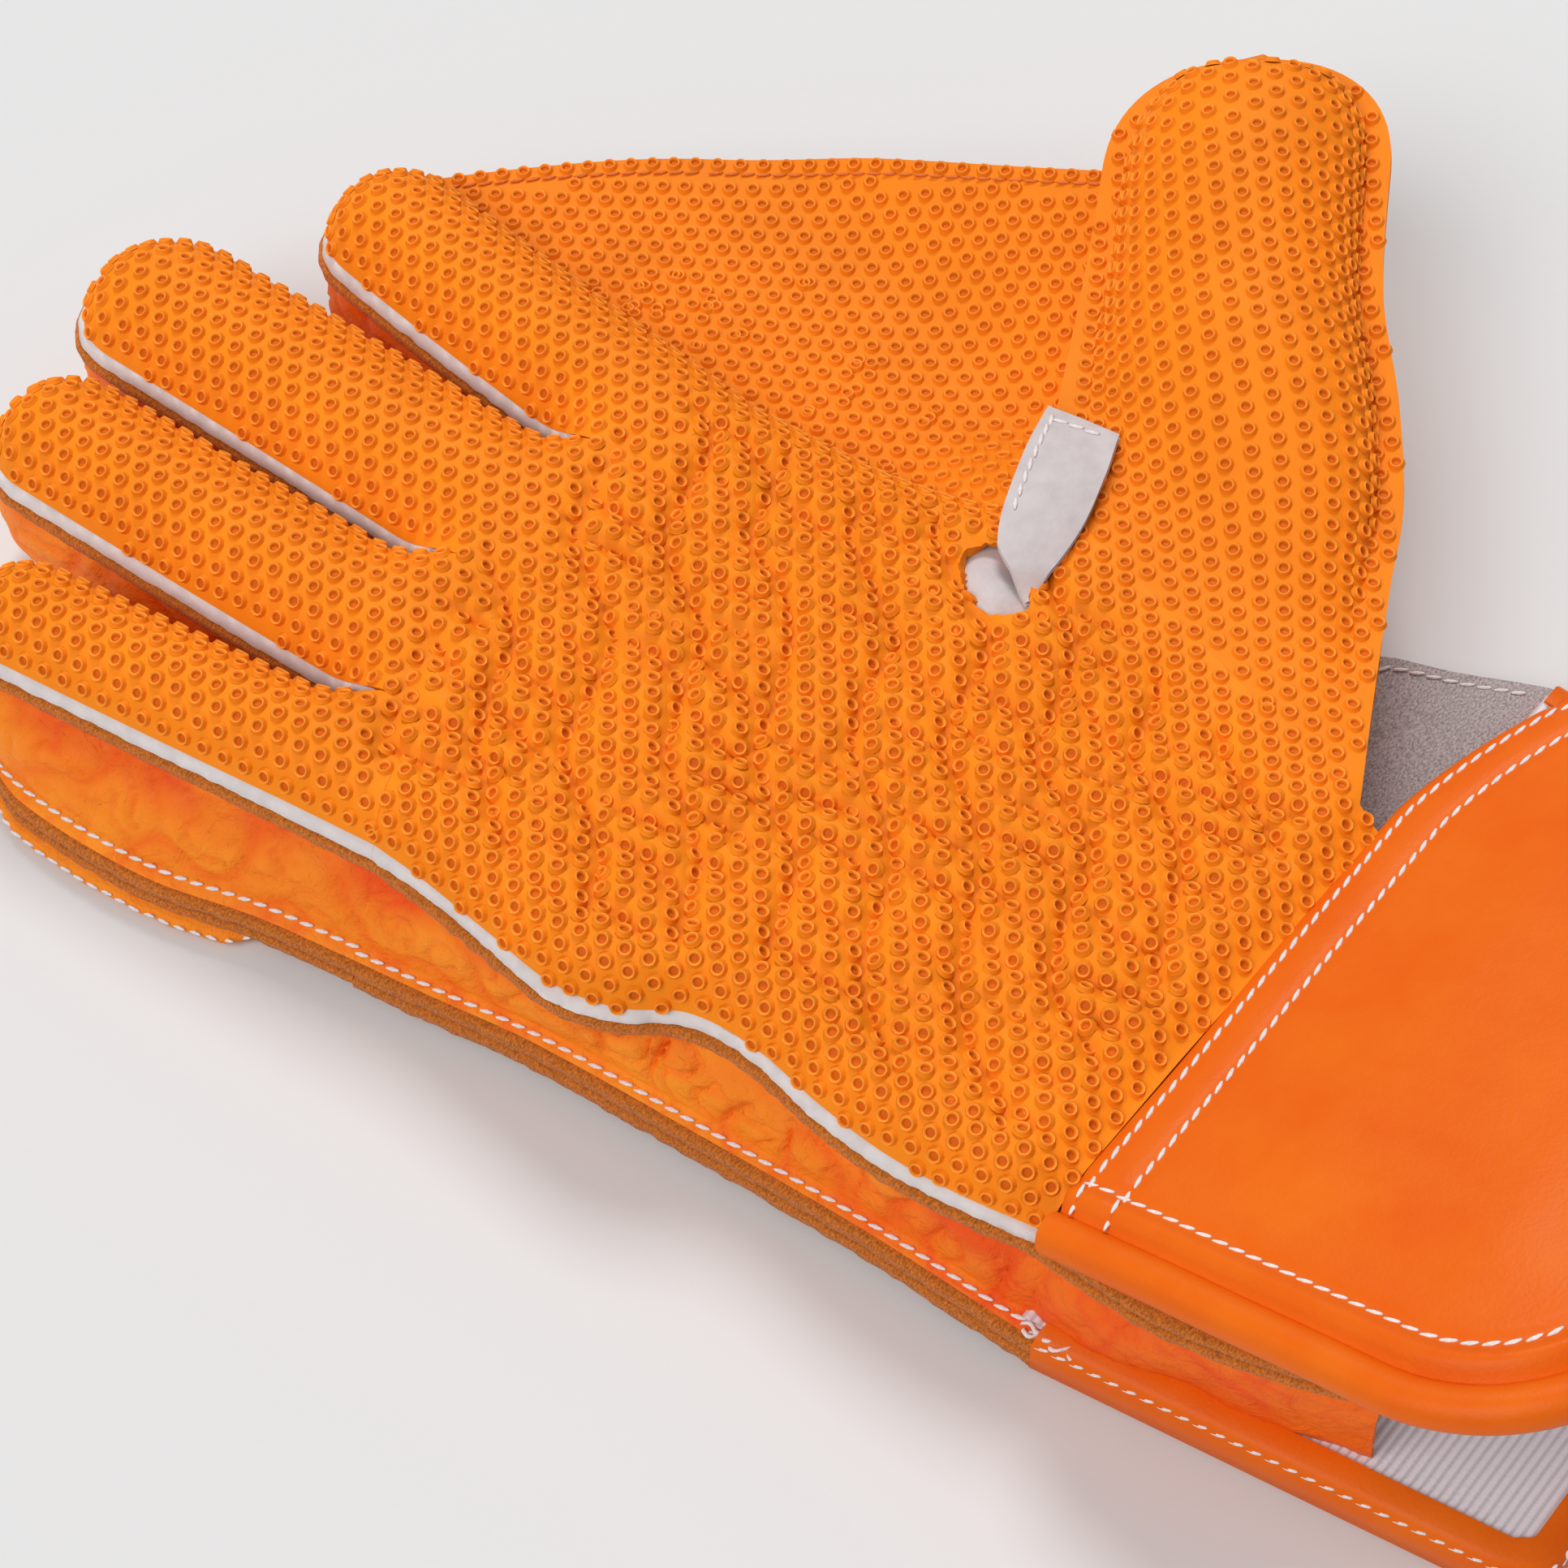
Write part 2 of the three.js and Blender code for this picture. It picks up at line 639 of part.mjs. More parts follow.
// The stack of one cuff: a list of layers from the bottom up, and a binding round its free edges
function addCuff(group, outline, low, layers, bindingName) {
  let height = low;
  for (const layer of layers) {
    group.add(piece(layer.name, plate(outline, height, height + layer.thick), layer.finish));
    height += layer.thick + GAP;
  }
  const top = height - GAP;
  const round = (top - low) / 2 - GAP;
  const wide = Math.min(round, CUFF_BINDING - GAP);
  const binding = roundedPlate(offsetOutline(outline, CUFF_BINDING), low, top, wide, round)
    .subtract(plate(offsetOutline(outline, GAP), low - GAP, top + GAP))
    .subtract(above("y", -CUFF_BINDING / 2));
  group.add(piece(bindingName, binding, "leather"));
}

const palmCuffTop = handCeiling + CUFF_LINING + CUFF_FOAM + CUFF_LEATHER + 2 * GAP;

function addPalmCuff(glove) {
  const turn = new THREE.Euler(-radians(PALM_CUFF_LIFT), 0, 0);
  const group = tilted(glove, 0, WRIST_SEAM_Y, palmCuffTop, turn);
  const half = WRIST_WIDTH / 2;
  const outline = cuffOutline(half, half, PALM_CUFF_THUMB_REACH, half, PALM_CUFF_STEP, PALM_CUFF_LENGTH);
  addCuff(group, outline, handCeiling, [
    { name: "palm_cuff_lining", thick: CUFF_LINING, finish: "knit" },
    { name: "palm_cuff_padding", thick: CUFF_FOAM, finish: "foam" },
    { name: "palm_cuff_cover", thick: CUFF_LEATHER, finish: "leather" },
  ], "palm_cuff_binding");
}

function addBackCuff(glove) {
  const group = new THREE.Group();
  group.position.y = WRIST_SEAM_Y;
  const reach = BACK_CUFF_THUMB_REACH;
  const outer = WRIST_WIDTH / 2 + BACK_CUFF_OVERHANG;
  const outline = cuffOutline(outer, outer - BACK_CUFF_TAPER, reach, reach, 0, BACK_CUFF_LENGTH);
  addCuff(group, outline, 0, [
    { name: "back_cuff_cover", thick: CUFF_LEATHER, finish: "leather" },
    { name: "back_cuff_padding", thick: CUFF_FOAM, finish: "foam" },
    { name: "back_cuff_lining", thick: CUFF_LINING, finish: "knit" },
  ], "back_cuff_binding");
  const gussetLow = CUFF_LEATHER + CUFF_FOAM + CUFF_LINING + 3 * GAP;
  const gusset = wall(outline, GUSSET_INSET, GUSSET, gussetLow, gussetLow + CUFF_GUSSET_HEIGHT)
    .subtract(above("x", 0))
    .subtract(above("y", -GUSSET_INSET - GUSSET - 2 * GAP))
    .subtract(below("y", -CUFF_GUSSET_LENGTH));
  group.add(piece("cuff_gusset", gusset, "leather"));
  glove.add(group);
}

const glove = new THREE.Group();
addPalmFace(glove);
addBack(glove);
addPalmGussets(glove);
addLoopTab(glove);
addInnerWeb(glove);
addFingers(glove);
addThumb(glove);
addPalmCuff(glove);
addBackCuff(glove);

export default glove;
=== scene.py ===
import json
import math

import bmesh
import bpy
from bpy.props import FloatProperty, FloatVectorProperty, PointerProperty
from mathutils import Matrix, Vector, noise
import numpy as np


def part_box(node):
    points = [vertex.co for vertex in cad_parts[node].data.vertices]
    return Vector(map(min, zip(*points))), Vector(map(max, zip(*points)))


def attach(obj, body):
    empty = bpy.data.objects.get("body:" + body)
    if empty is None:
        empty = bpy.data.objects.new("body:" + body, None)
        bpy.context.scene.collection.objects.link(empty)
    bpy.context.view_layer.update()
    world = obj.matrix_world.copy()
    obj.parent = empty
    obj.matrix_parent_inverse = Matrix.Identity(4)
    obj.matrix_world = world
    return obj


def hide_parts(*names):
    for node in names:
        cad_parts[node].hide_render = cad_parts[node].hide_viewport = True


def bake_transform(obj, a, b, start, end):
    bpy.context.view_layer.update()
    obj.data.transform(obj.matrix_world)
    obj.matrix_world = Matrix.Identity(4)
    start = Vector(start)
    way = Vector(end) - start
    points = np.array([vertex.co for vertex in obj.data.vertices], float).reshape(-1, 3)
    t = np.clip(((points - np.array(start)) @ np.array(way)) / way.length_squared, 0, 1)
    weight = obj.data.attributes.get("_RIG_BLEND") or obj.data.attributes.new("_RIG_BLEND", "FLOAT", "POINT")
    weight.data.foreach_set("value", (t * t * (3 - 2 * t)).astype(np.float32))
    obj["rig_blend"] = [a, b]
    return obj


bl_info = {
    "name": "Wicket keeping glove",
    "version": (1, 0, 0),
    "blender": (4, 5, 0),
    "location": "View3D > Sidebar > Glove",
    "description": "Dresses the glove's solids with rubber, leather, suede, knit and thread",
    "category": "Object",
}

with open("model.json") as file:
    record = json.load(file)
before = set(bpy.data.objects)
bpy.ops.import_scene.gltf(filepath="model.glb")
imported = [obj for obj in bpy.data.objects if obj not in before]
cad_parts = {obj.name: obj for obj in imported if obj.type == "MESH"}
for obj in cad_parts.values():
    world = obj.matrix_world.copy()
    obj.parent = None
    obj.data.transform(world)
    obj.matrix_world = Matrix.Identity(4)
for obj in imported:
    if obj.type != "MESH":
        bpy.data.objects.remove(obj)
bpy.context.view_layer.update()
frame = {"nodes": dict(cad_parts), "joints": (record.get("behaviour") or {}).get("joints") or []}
JOINTS = {joint["name"]: joint for joint in frame["joints"]}
UP = Vector((0.0, 0.0, 1.0))

# Shapes are worked out in millimetres and turned into metres when a piece is finished
MM = 0.001

# Edges bent by more than this are shaded as sharp
SHARP_ANGLE = math.radians(70.0)

# The vertex layer that holds the marks of rings, sewing and wrinkles: painted highlight and painted shade,
# and the gusset's redder tint
LIGHT_AND_TONE_MARKS = "hollow"


def box(node):
    """Lowest and highest corner of a solid, in millimetres."""
    low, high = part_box(node)
    return low / MM, high / MM


# Heights of the glove's layers, from its solids
EDGE_RAISE = 2.6
RUBBER_FOOT = box("palm_facing")[0].z + EDGE_RAISE
RUBBER_TOP = box("palm_facing")[1].z
RUBBER_RISE = RUBBER_TOP - RUBBER_FOOT
ROLL_TOP = box("middle_back_roll")[1].z
WRIST_Y = box("palm_facing")[0].y

# Fingers and thumb
CROWN_TURN = math.radians(64.0)
ROLL_TURN = math.radians(90.0)
TIP_ROUNDNESS = 2.3
TIP_THINNING = 0.1
TIP_SHARE = 0.95
TIP_LEAST = 0.02
TIP_TAPER = 0.97
SIDE_SHARE = 0.75
SLIT_ROWS = (68.0, 79.0, 77.0)
SLIT_SPAN = 20.0
ROOT_BACK = 18.0
FINGER_BEND = (-2.0, 12.0)
FINGER_SWAY = {"little": 0.8, "ring": 1.0, "middle": -1.2, "index": 2.4}
THUMB_LIFT = math.radians(13.0)
THUMB_TURN = math.radians(45.0)
THUMB_ROOT = 53.0
THUMB_HALF = 30.5
THUMB_TIP_HALF = 27.5
THUMB_LENGTH = 117.0
THUMB_FLANGE = 5.0
THUMB_TUBE_SHARE = 0.84
THUMB_FOOT = RUBBER_FOOT + 0.8
THUMB_RISE = 12.6
THUMB_SHIFT = (-2.4, 1.7)
THUMB_OPEN = (-10.0, 36.0)
FOLD_SOFT = 14.0
THUMB_BEND = 12.0
THUMB_SWELL = 1.2
THUMB_TUCK = 0.22

# Edge stack under the rubber: white leather, raw suede, then the leather wall
WHITE_BAND = (RUBBER_FOOT - 3.0, RUBBER_FOOT - 0.1)
WHITE_OUT = 1.4
SUEDE_BAND = (RUBBER_FOOT - 5.6, RUBBER_FOOT - 3.2)
SUEDE_OUT = 2.2
WALL_TOP = RUBBER_FOOT - 4.4
WALL_INSET = 0.9
WALL_THICK = 1.4
RIDGE_OUT = 5.0
ROOT_FLARE = 6.5

# Quilting of the palm: wavy spines up the palm, and rungs slanted across the lanes between them
QUILT_UP = Vector((0.779, 0.627, 0.0))
QUILT_SIDE = Vector((0.627, -0.779, 0.0))
QUILT_LANE = 16.0
QUILT_PERIOD = 46.0
QUILT_SWING = 4.0
QUILT_RUNG = 10.5
QUILT_STEEP = 0.4
QUILT_SPINE = 6.0
QUILT_SLANT = 0.75
QUILT_BEYOND = 14.0
QUILT_STAGGER = 0.45
QUILT_SIDE_EDGE = (5.0, 13.0)
QUILT_WRIST_EDGE = (3.0, 12.0)
QUILT_KNUCKLE_EDGE = (0.0, 12.0)
QUILT_WEAKEST = 0.4
SPINE_WANDER = 2.4
RUNG_WANDER = 2.6

# Seam of the rubber at the wrist
WRIST_LAP = 0.3
WRIST_SKEW = 1.5
WRIST_SKEW_SPAN = (-20.0, 50.0)
WRIST_DIP = 3.3
WRIST_DIP_SPAN = 9.0

# Sewn lines on the glove's back
BACK_LANE = 26.0
BACK_LANE_START = -66.0
BACK_SEAM_SHARPNESS = 0.4
BACK_SEAM_DEPTH = 2.4
BACK_THICK = 1.6

# Marks of the rubber's painted light, between 0 on a ring's rim painted pale as highlight and 1 in its hole
# painted dark as shade; GROOVE is the painted shade of a sewn channel
PLAIN = 0.3
GROOVE = 0.62
GROOVE_SHARE = 0.75
# The thumb and the web are painted a little darker all over, as painted shade
THUMB_SHADE_MARK = 0.06
WEB_SHADE_MARK = 0.1

# A ring's profile from its foot inwards, as shares of its radius and height, and the mark there: painted
# highlight on the rim, painted shade in the hole
RING_PROFILE = (
    (1.0, -0.05, PLAIN), (0.82, 0.6, 0.44), (0.7, 1.0, 0.05), (0.55, 0.88, 0.2), (0.42, 0.25, 0.85))
RING_SIDES = 10

# Where the rings end: in millimetres from an edge, or as a share of half a width or of the slot's size
RING_EDGE = 0.2
RING_WRIST_EDGE = 0.9
RING_SLOT_REACH = 1.2
FINGER_RING_SHARE = 0.95
FINGER_RING_TIP = 0.8
THUMB_RING_SHARE = 0.965
THUMB_RING_TIP = 3.6

# Stretches that are searched for rings: corners in plan, and room beside and behind a finger
PALM_PLAN = ((-85.0, -80.0), (95.0, 90.0))
FINGER_PLAN = ((-110.0, 40.0), (75.0, 200.0))
FINGER_REACH = 26.0
FINGER_BEHIND = 12.0
THUMB_PLAN = ((20.0, -90.0), (230.0, 110.0))
WEB_PLAN = ((35.0, -5.0), (175.0, 175.0))

# How closely the sheet's rows of rings are drawn together where it is gathered by sewing
SEWN_GATHER = 0.82

# Stitches
STITCH_LIFT = 0.1
STITCH_SLANT = 0.2
STITCH_FLATNESS = 0.8

# Cuffs
PALM_CUFF_LIFT = math.radians(20.0)
PALM_CUFF_WAY = Vector((0.0, -math.cos(PALM_CUFF_LIFT), math.sin(PALM_CUFF_LIFT)))
PALM_CUFF_NORMAL = Vector((0.0, math.sin(PALM_CUFF_LIFT), math.cos(PALM_CUFF_LIFT)))
PALM_CUFF_TOP = 37.9
PALM_CUFF_LENGTH = 92.0
PALM_CUFF_HALF = 51.0
PALM_CUFF_REACH = 86.0
PALM_CUFF_STEP = 14.0
PALM_CUFF_STEP_FROM = 45.0
PALM_CUFF_CORNER = 30.0
PALM_CUFF_ROWS = (2.4, 9.2)
PALM_CUFF_EDGE_ROW = 7.2
PALM_CUFF_SEAM = 0.4
PALM_CUFF_MARGIN = 3.5
PALM_CUFF_KNIT_START = 2.0
PALM_CUFF_KNIT_HEIGHT = -9.6
BACK_CUFF_LENGTH = 88.0
BACK_CUFF_HALF = 57.4
BACK_CUFF_TAPER = 16.0
BACK_CUFF_REACH = 104.0
BACK_CUFF_CORNER = 5.0
BACK_CUFF_DENT = 1.1
BACK_CUFF_FOOT = 0.4
BACK_CUFF_MARGIN = 1.0
BACK_CUFF_KNIT_START = 0.5
BACK_CUFF_KNIT_TOP = 10.4
CUFF_PAD = 8.0
KNIT_RIB_HEIGHT = 0.16
KNIT_RIB_PITCH = 1.5
KNIT_THICK = 0.9
ROLL_RADIUS = 3.6


def length_property(name, description, default):
    """A length that a user can change."""
    return FloatProperty(name=name, description=description, default=default, unit="LENGTH")


class GloveSizes(bpy.types.PropertyGroup):
    """Sizes that set the glove's surface detail."""

    ring_pitch: length_property("Ring pitch", "Distance between the rubber's raised rings", 0.0043)
    ring_radius: length_property("Ring radius", "Outer radius of a raised ring", 0.00165)
    ring_height: length_property("Ring height", "Height of a raised ring", 0.0009)
    rubber_thick: length_property("Rubber thickness", "Thickness of the rubber sheet", 0.0022)
    quilt_depth: length_property("Quilt depth", "Depth of the sewn channels in the palm", 0.0027)
    stitch_length: length_property("Stitch length", "Length of one stitch with its gap", 0.0031)
    stitch_width: length_property("Stitch width", "Thickness of the sewing thread", 0.0008)


def colour_property(name, default):
    """A colour that a user can change."""
    return FloatVectorProperty(
        name=name, description=f"Colour of the {name.lower()}",
        subtype="COLOR", size=3, min=0.0, max=1.0, default=default)


class GloveColours(bpy.types.PropertyGroup):
    """Colours of the glove's materials and of the floor."""

    rubber: colour_property("Rubber", (0.97, 0.268, 0.010))
    wall_leather: colour_property("Wall leather", (1.0, 0.31, 0.018))
    cuff_leather: colour_property("Cuff leather", (0.80, 0.150, 0.005))
    white_leather: colour_property("White leather", (0.76, 0.70, 0.69))
    tab_leather: colour_property("Tab leather", (0.63, 0.56, 0.56))
    raw_suede: colour_property("Raw suede", (0.66, 0.175, 0.012))
    pale_suede: colour_property("Pale suede", (0.50, 0.44, 0.44))
    knit: colour_property("Knit", (0.80, 0.73, 0.76))
    thread: colour_property("Thread", (0.88, 0.80, 0.79))
    hem_thread: colour_property("Hem thread", (0.80, 0.17, 0.012))
    tip_guard: colour_property("Tip guard", (0.03, 0.03, 0.032))
    floor: colour_property("Floor", (0.722, 0.722, 0.722))


def sizes():
    """The size settings."""
    return bpy.context.scene.glove_sizes


def colours():
    """The colour settings."""
    return bpy.context.scene.glove_colours


# Curves and steps


def mix(a, b, share):
    """Value between a and b."""
    return a + (b - a) * share


def shares(count):
    """Even shares from 0 to 1, in count steps."""
    return [step / count for step in range(count + 1)]


def side_of(share):
    """-1 on the left, where share is negative, or else 1."""
    return -1 if share < 0.0 else 1


def ease(low, high, value):
    """Smooth step from 0 at low to 1 at high."""
    share = min(max((value - low) / (high - low), 0.0), 1.0)
    return share * share * (3.0 - 2.0 * share)


def swell(middle, width, value):
    """Bell curve of height 1."""
    return math.exp(-(((value - middle) / width) ** 2))


def crown(across, turn):
    """Height of a rounded section: 1 in its middle, 0 at its edge, where across is 1 or -1."""
    return (math.cos(across * turn) - math.cos(turn)) / (1.0 - math.cos(turn))


def crown_arc(half, rise, turn):
    """Length over one half of a rounded section."""
    points = []
    for share in shares(24):
        points.append((half * math.sin(share * turn) / math.sin(turn), rise * crown(share, turn)))
    return sum(math.dist(start, end) for start, end in zip(points, points[1:]))


def through(points):
    """A smooth curve through points given as (place, value), in order."""
    last = len(points) - 1

    def slope(index):
        before = points[max(index - 1, 0)]
        after = points[min(index + 1, last)]
        return (after[1] - before[1]) / (after[0] - before[0])

    def value(place):
        index = 0
        while index < last - 1 and place > points[index + 1][0]:
            index += 1
        start, end = points[index], points[index + 1]
        span = end[0] - start[0]
        share = (place - start[0]) / span
        if share < 0.0:
            return start[1] + slope(index) * (place - start[0])
        if share > 1.0:
            return end[1] + slope(index + 1) * (place - end[0])
        inverse = 1.0 - share
        return (
            start[1] * (1.0 + 2.0 * share) * inverse ** 2
            + slope(index) * span * share * inverse ** 2
            + end[1] * share ** 2 * (3.0 - 2.0 * share)
            - slope(index + 1) * span * share ** 2 * inverse
        )

    return value


def ripple(point, scale, seed=0.0):
    """Smooth noise from -1 to 1 that varies over a distance of about scale."""
    return noise.noise(Vector(point) / scale + Vector((seed, seed, seed)))


# Frames of the joints


def upright(joint, right):
    """Frame on the floor below a joint: x along right, z up."""
    matrix = Matrix((right, UP.cross(right), UP)).transposed().to_4x4()
    origin = Vector(JOINTS[joint]["pos_m"]) / MM
    matrix.translation = (origin.x, origin.y, 0.0)
    return matrix


FOLD = upright("thumb_fold", (-Vector(JOINTS["thumb_fold"]["axis"])).cross(UP))


def lift_from_fold(x, y, z):
    """Point of the thumb, given flat in the fold's frame, raised about the fold."""
    turn = THUMB_LIFT * ease(-FOLD_SOFT, FOLD_SOFT, x)
    rise = z - RUBBER_TOP
    across = x * math.cos(turn) - rise * math.sin(turn)
    height = RUBBER_TOP + x * math.sin(turn) + rise * math.cos(turn)
    return FOLD @ Vector((across, y, height))


def raise_flat(point):
    """A flat point of the palm, the web or the thumb's root, raised with the thumb."""
    local = FOLD.inverted() @ point
    return lift_from_fold(local.x, local.y, local.z)


class Stall:
    """A finger or the thumb in its own frame: x across, y along from the root, z up."""

    def __init__(self, name, body, half, tip_half, length):
        self.name = name
        self.body = body
        self.half = half
        self.tip_half = tip_half
        self.length = length
        self.straight = length - tip_half * TIP_SHARE

    def tip_round(self, y):
        """How far the section is rounded off at the tip: 1 before the tip, 0 at its end."""
        beyond = min(max(y - self.straight, 0.0) / (self.length - self.straight), 1.0)
        return (1.0 - beyond ** TIP_ROUNDNESS) ** (1.0 / TIP_ROUNDNESS)

    def half_at(self, y):
        """Half the width, with the tip rounded."""
        share = min(max(y / self.length, 0.0), 1.0)
        return mix(self.half, self.tip_half, share) * self.tip_round(y)

    def along(self, base, share):
        """Place along the stall, closer together round the tip."""
        if share < SIDE_SHARE:
            return mix(base, self.straight, share / SIDE_SHARE)
        turn = (share - SIDE_SHARE) / (1.0 - SIDE_SHARE) * math.pi / 2.0
        return mix(self.straight, self.length, math.sin(turn))

    def outline(self, share):
        """Edge of the rubber in plan, from the left root at -1 round the tip at 0 to the right root at 1."""
        side = side_of(share)
        y = self.along(self.rim_base(side), 1.0 - abs(share))
        return self.edge_x(side, y), y

    def rim(self, share, out, z, lifted=1.0):
        """Point beside the edge: out of it in plan, at a height that follows the edge where lifted is 1."""
        step = 0.004
        x, y = self.outline(share)
        before = self.outline(max(share - step, -1.0))
        after = self.outline(min(share + step, 1.0))
        way = Vector((after[0] - before[0], after[1] - before[1])).normalized()
        side = side_of(share)
        lift = self.edge_lift(side, y) * lifted
        return self.place(x - way.y * out, y + way.x * out, z + lift)

    def unrolled_along(self, y, rise):
        """Place along the stall of a point of the sheet before it was bent down over the tip."""
        if y <= self.straight:
            return y
        turn = (y - self.straight) / crown_arc(self.length - self.straight, rise, ROLL_TURN)
        return mix(self.straight, self.length, math.sin(min(turn, 1.0) * math.pi / 2.0))

    def joined(self):
        """The bodies that the stall's skin joins, and the stretch between them that bends."""
        return ("palm", self.body, *self.bend())


class Finger(Stall):
    """One of the four fingers."""

    foot_shift = 0.0

    def __init__(self, name, joint):
        right = Vector(JOINTS[joint]["axis"])
        self.matrix = upright(joint, right)
        self.inverse = self.matrix.inverted()
        node = frame["nodes"][f"{name}_facing"]
        local = [self.inverse @ (v.co / MM) for v in node.data.vertices]
        half = max(abs(p.x) for p in local)
        length = max(p.y for p in local)
        super().__init__(name, f"{name}_finger", half, half * TIP_TAPER, length)
        self.borders = {-1: None, 1: None}
        self.slits = {-1: None, 1: None}

    def place(self, x, y, z):
        """Point in the object's frame, thinner and swayed towards the tip."""
        along = min(max(y, 0.0) / self.length, 1.0)
        sway = FINGER_SWAY[self.name] * along ** 2
        return self.matrix @ Vector((x + sway, y, z * (1.0 - TIP_THINNING * along)))

    def opened(self, side, y):
        """0 where the rubber is one sheet with its neighbour's, 1 where the stall stands by itself."""
        if self.borders[side] is None:
            return 1.0
        return ease(self.slits[side], self.slits[side] + SLIT_SPAN, y)

    def strip(self, side, y):
        """Half the width of the strip that leads to the stall behind the knuckle."""
        border = self.borders[side]
        if border is None:
            return self.half
        root, knuckle = border
        share = (y - root.y) / (knuckle.y - root.y)
        return abs(mix(root.x, knuckle.x, share))

    def edge_x(self, side, y):
        """Edge of the rubber on one side."""
        return side * mix(self.strip(side, y), self.half_at(y), self.opened(side, y))

    def edge_lift(self, side, y):
        """Height of the rubber's edge above its foot."""
        return RUBBER_RISE * (1.0 - self.opened(side, y))

    def rim_base(self, side):
        """Where the edge stack begins along one side."""
        return -ROOT_BACK if self.borders[side] is None else self.slits[side] + 1.0

    def shell(self, across, y, foot, rise, turn, spread=0.0):
        """Crowned surface over the stall, or under it where rise is negative."""
        side = side_of(across)
        opened = self.opened(side, y)
        crown_x = (self.half_at(y) + spread) * math.sin(across * turn) / math.sin(turn)
        crown_z = rise * self.tip_round(y) * crown(across, turn)
        flat_x = across * self.strip(side, y)
        return self.place(mix(flat_x, crown_x, opened), y, foot + mix(rise, crown_z, opened))

    def root(self, across, foot, rise, turn):
        """Place along the stall where its surface meets the palm's."""
        y = -ROOT_BACK
        for _ in range(4):
            point = self.shell(across, y, foot, rise, turn)
            y += knuckle_arc(point.x) - point.y
        return y

    def rubber(self, across, y):
        """Rubber surface, with the palm's quilting where that reaches it."""
        point = self.shell(across, y, RUBBER_FOOT, RUBBER_RISE, CROWN_TURN)
        point.z -= sizes().quilt_depth / MM * quilt(point.x, point.y)
        return point

    def rubber_root(self, across):
        """Place along the stall where its rubber meets the palm's."""
        return self.root(across, RUBBER_FOOT, RUBBER_RISE, CROWN_TURN)

    def unrolled(self, x, y):
        """Place on the rubber, as (across, along), of a point of the sheet before it was bent."""
        side = side_of(x)
        y = self.unrolled_along(y, RUBBER_RISE)
        bent = crown_arc(self.half, RUBBER_RISE, CROWN_TURN) * max(self.tip_round(y), TIP_LEAST)
        return x / mix(self.strip(side, y), bent, self.opened(side, y)), y

    def bend(self):
        """Start and end of the stretch that bends at the knuckle."""
        return self.place(0, FINGER_BEND[0], 0) * MM, self.place(0, FINGER_BEND[1], 0) * MM


# How far the thumb's outer edge stands out of its plain width, at each place along it
thumb_wave = through([
    (-30.0, 0.0), (0.0, 1.2), (18.0, 2.8), (40.0, 1.2), (62.0, -2.4), (84.0, -2.6), (THUMB_LENGTH, -1.0)])


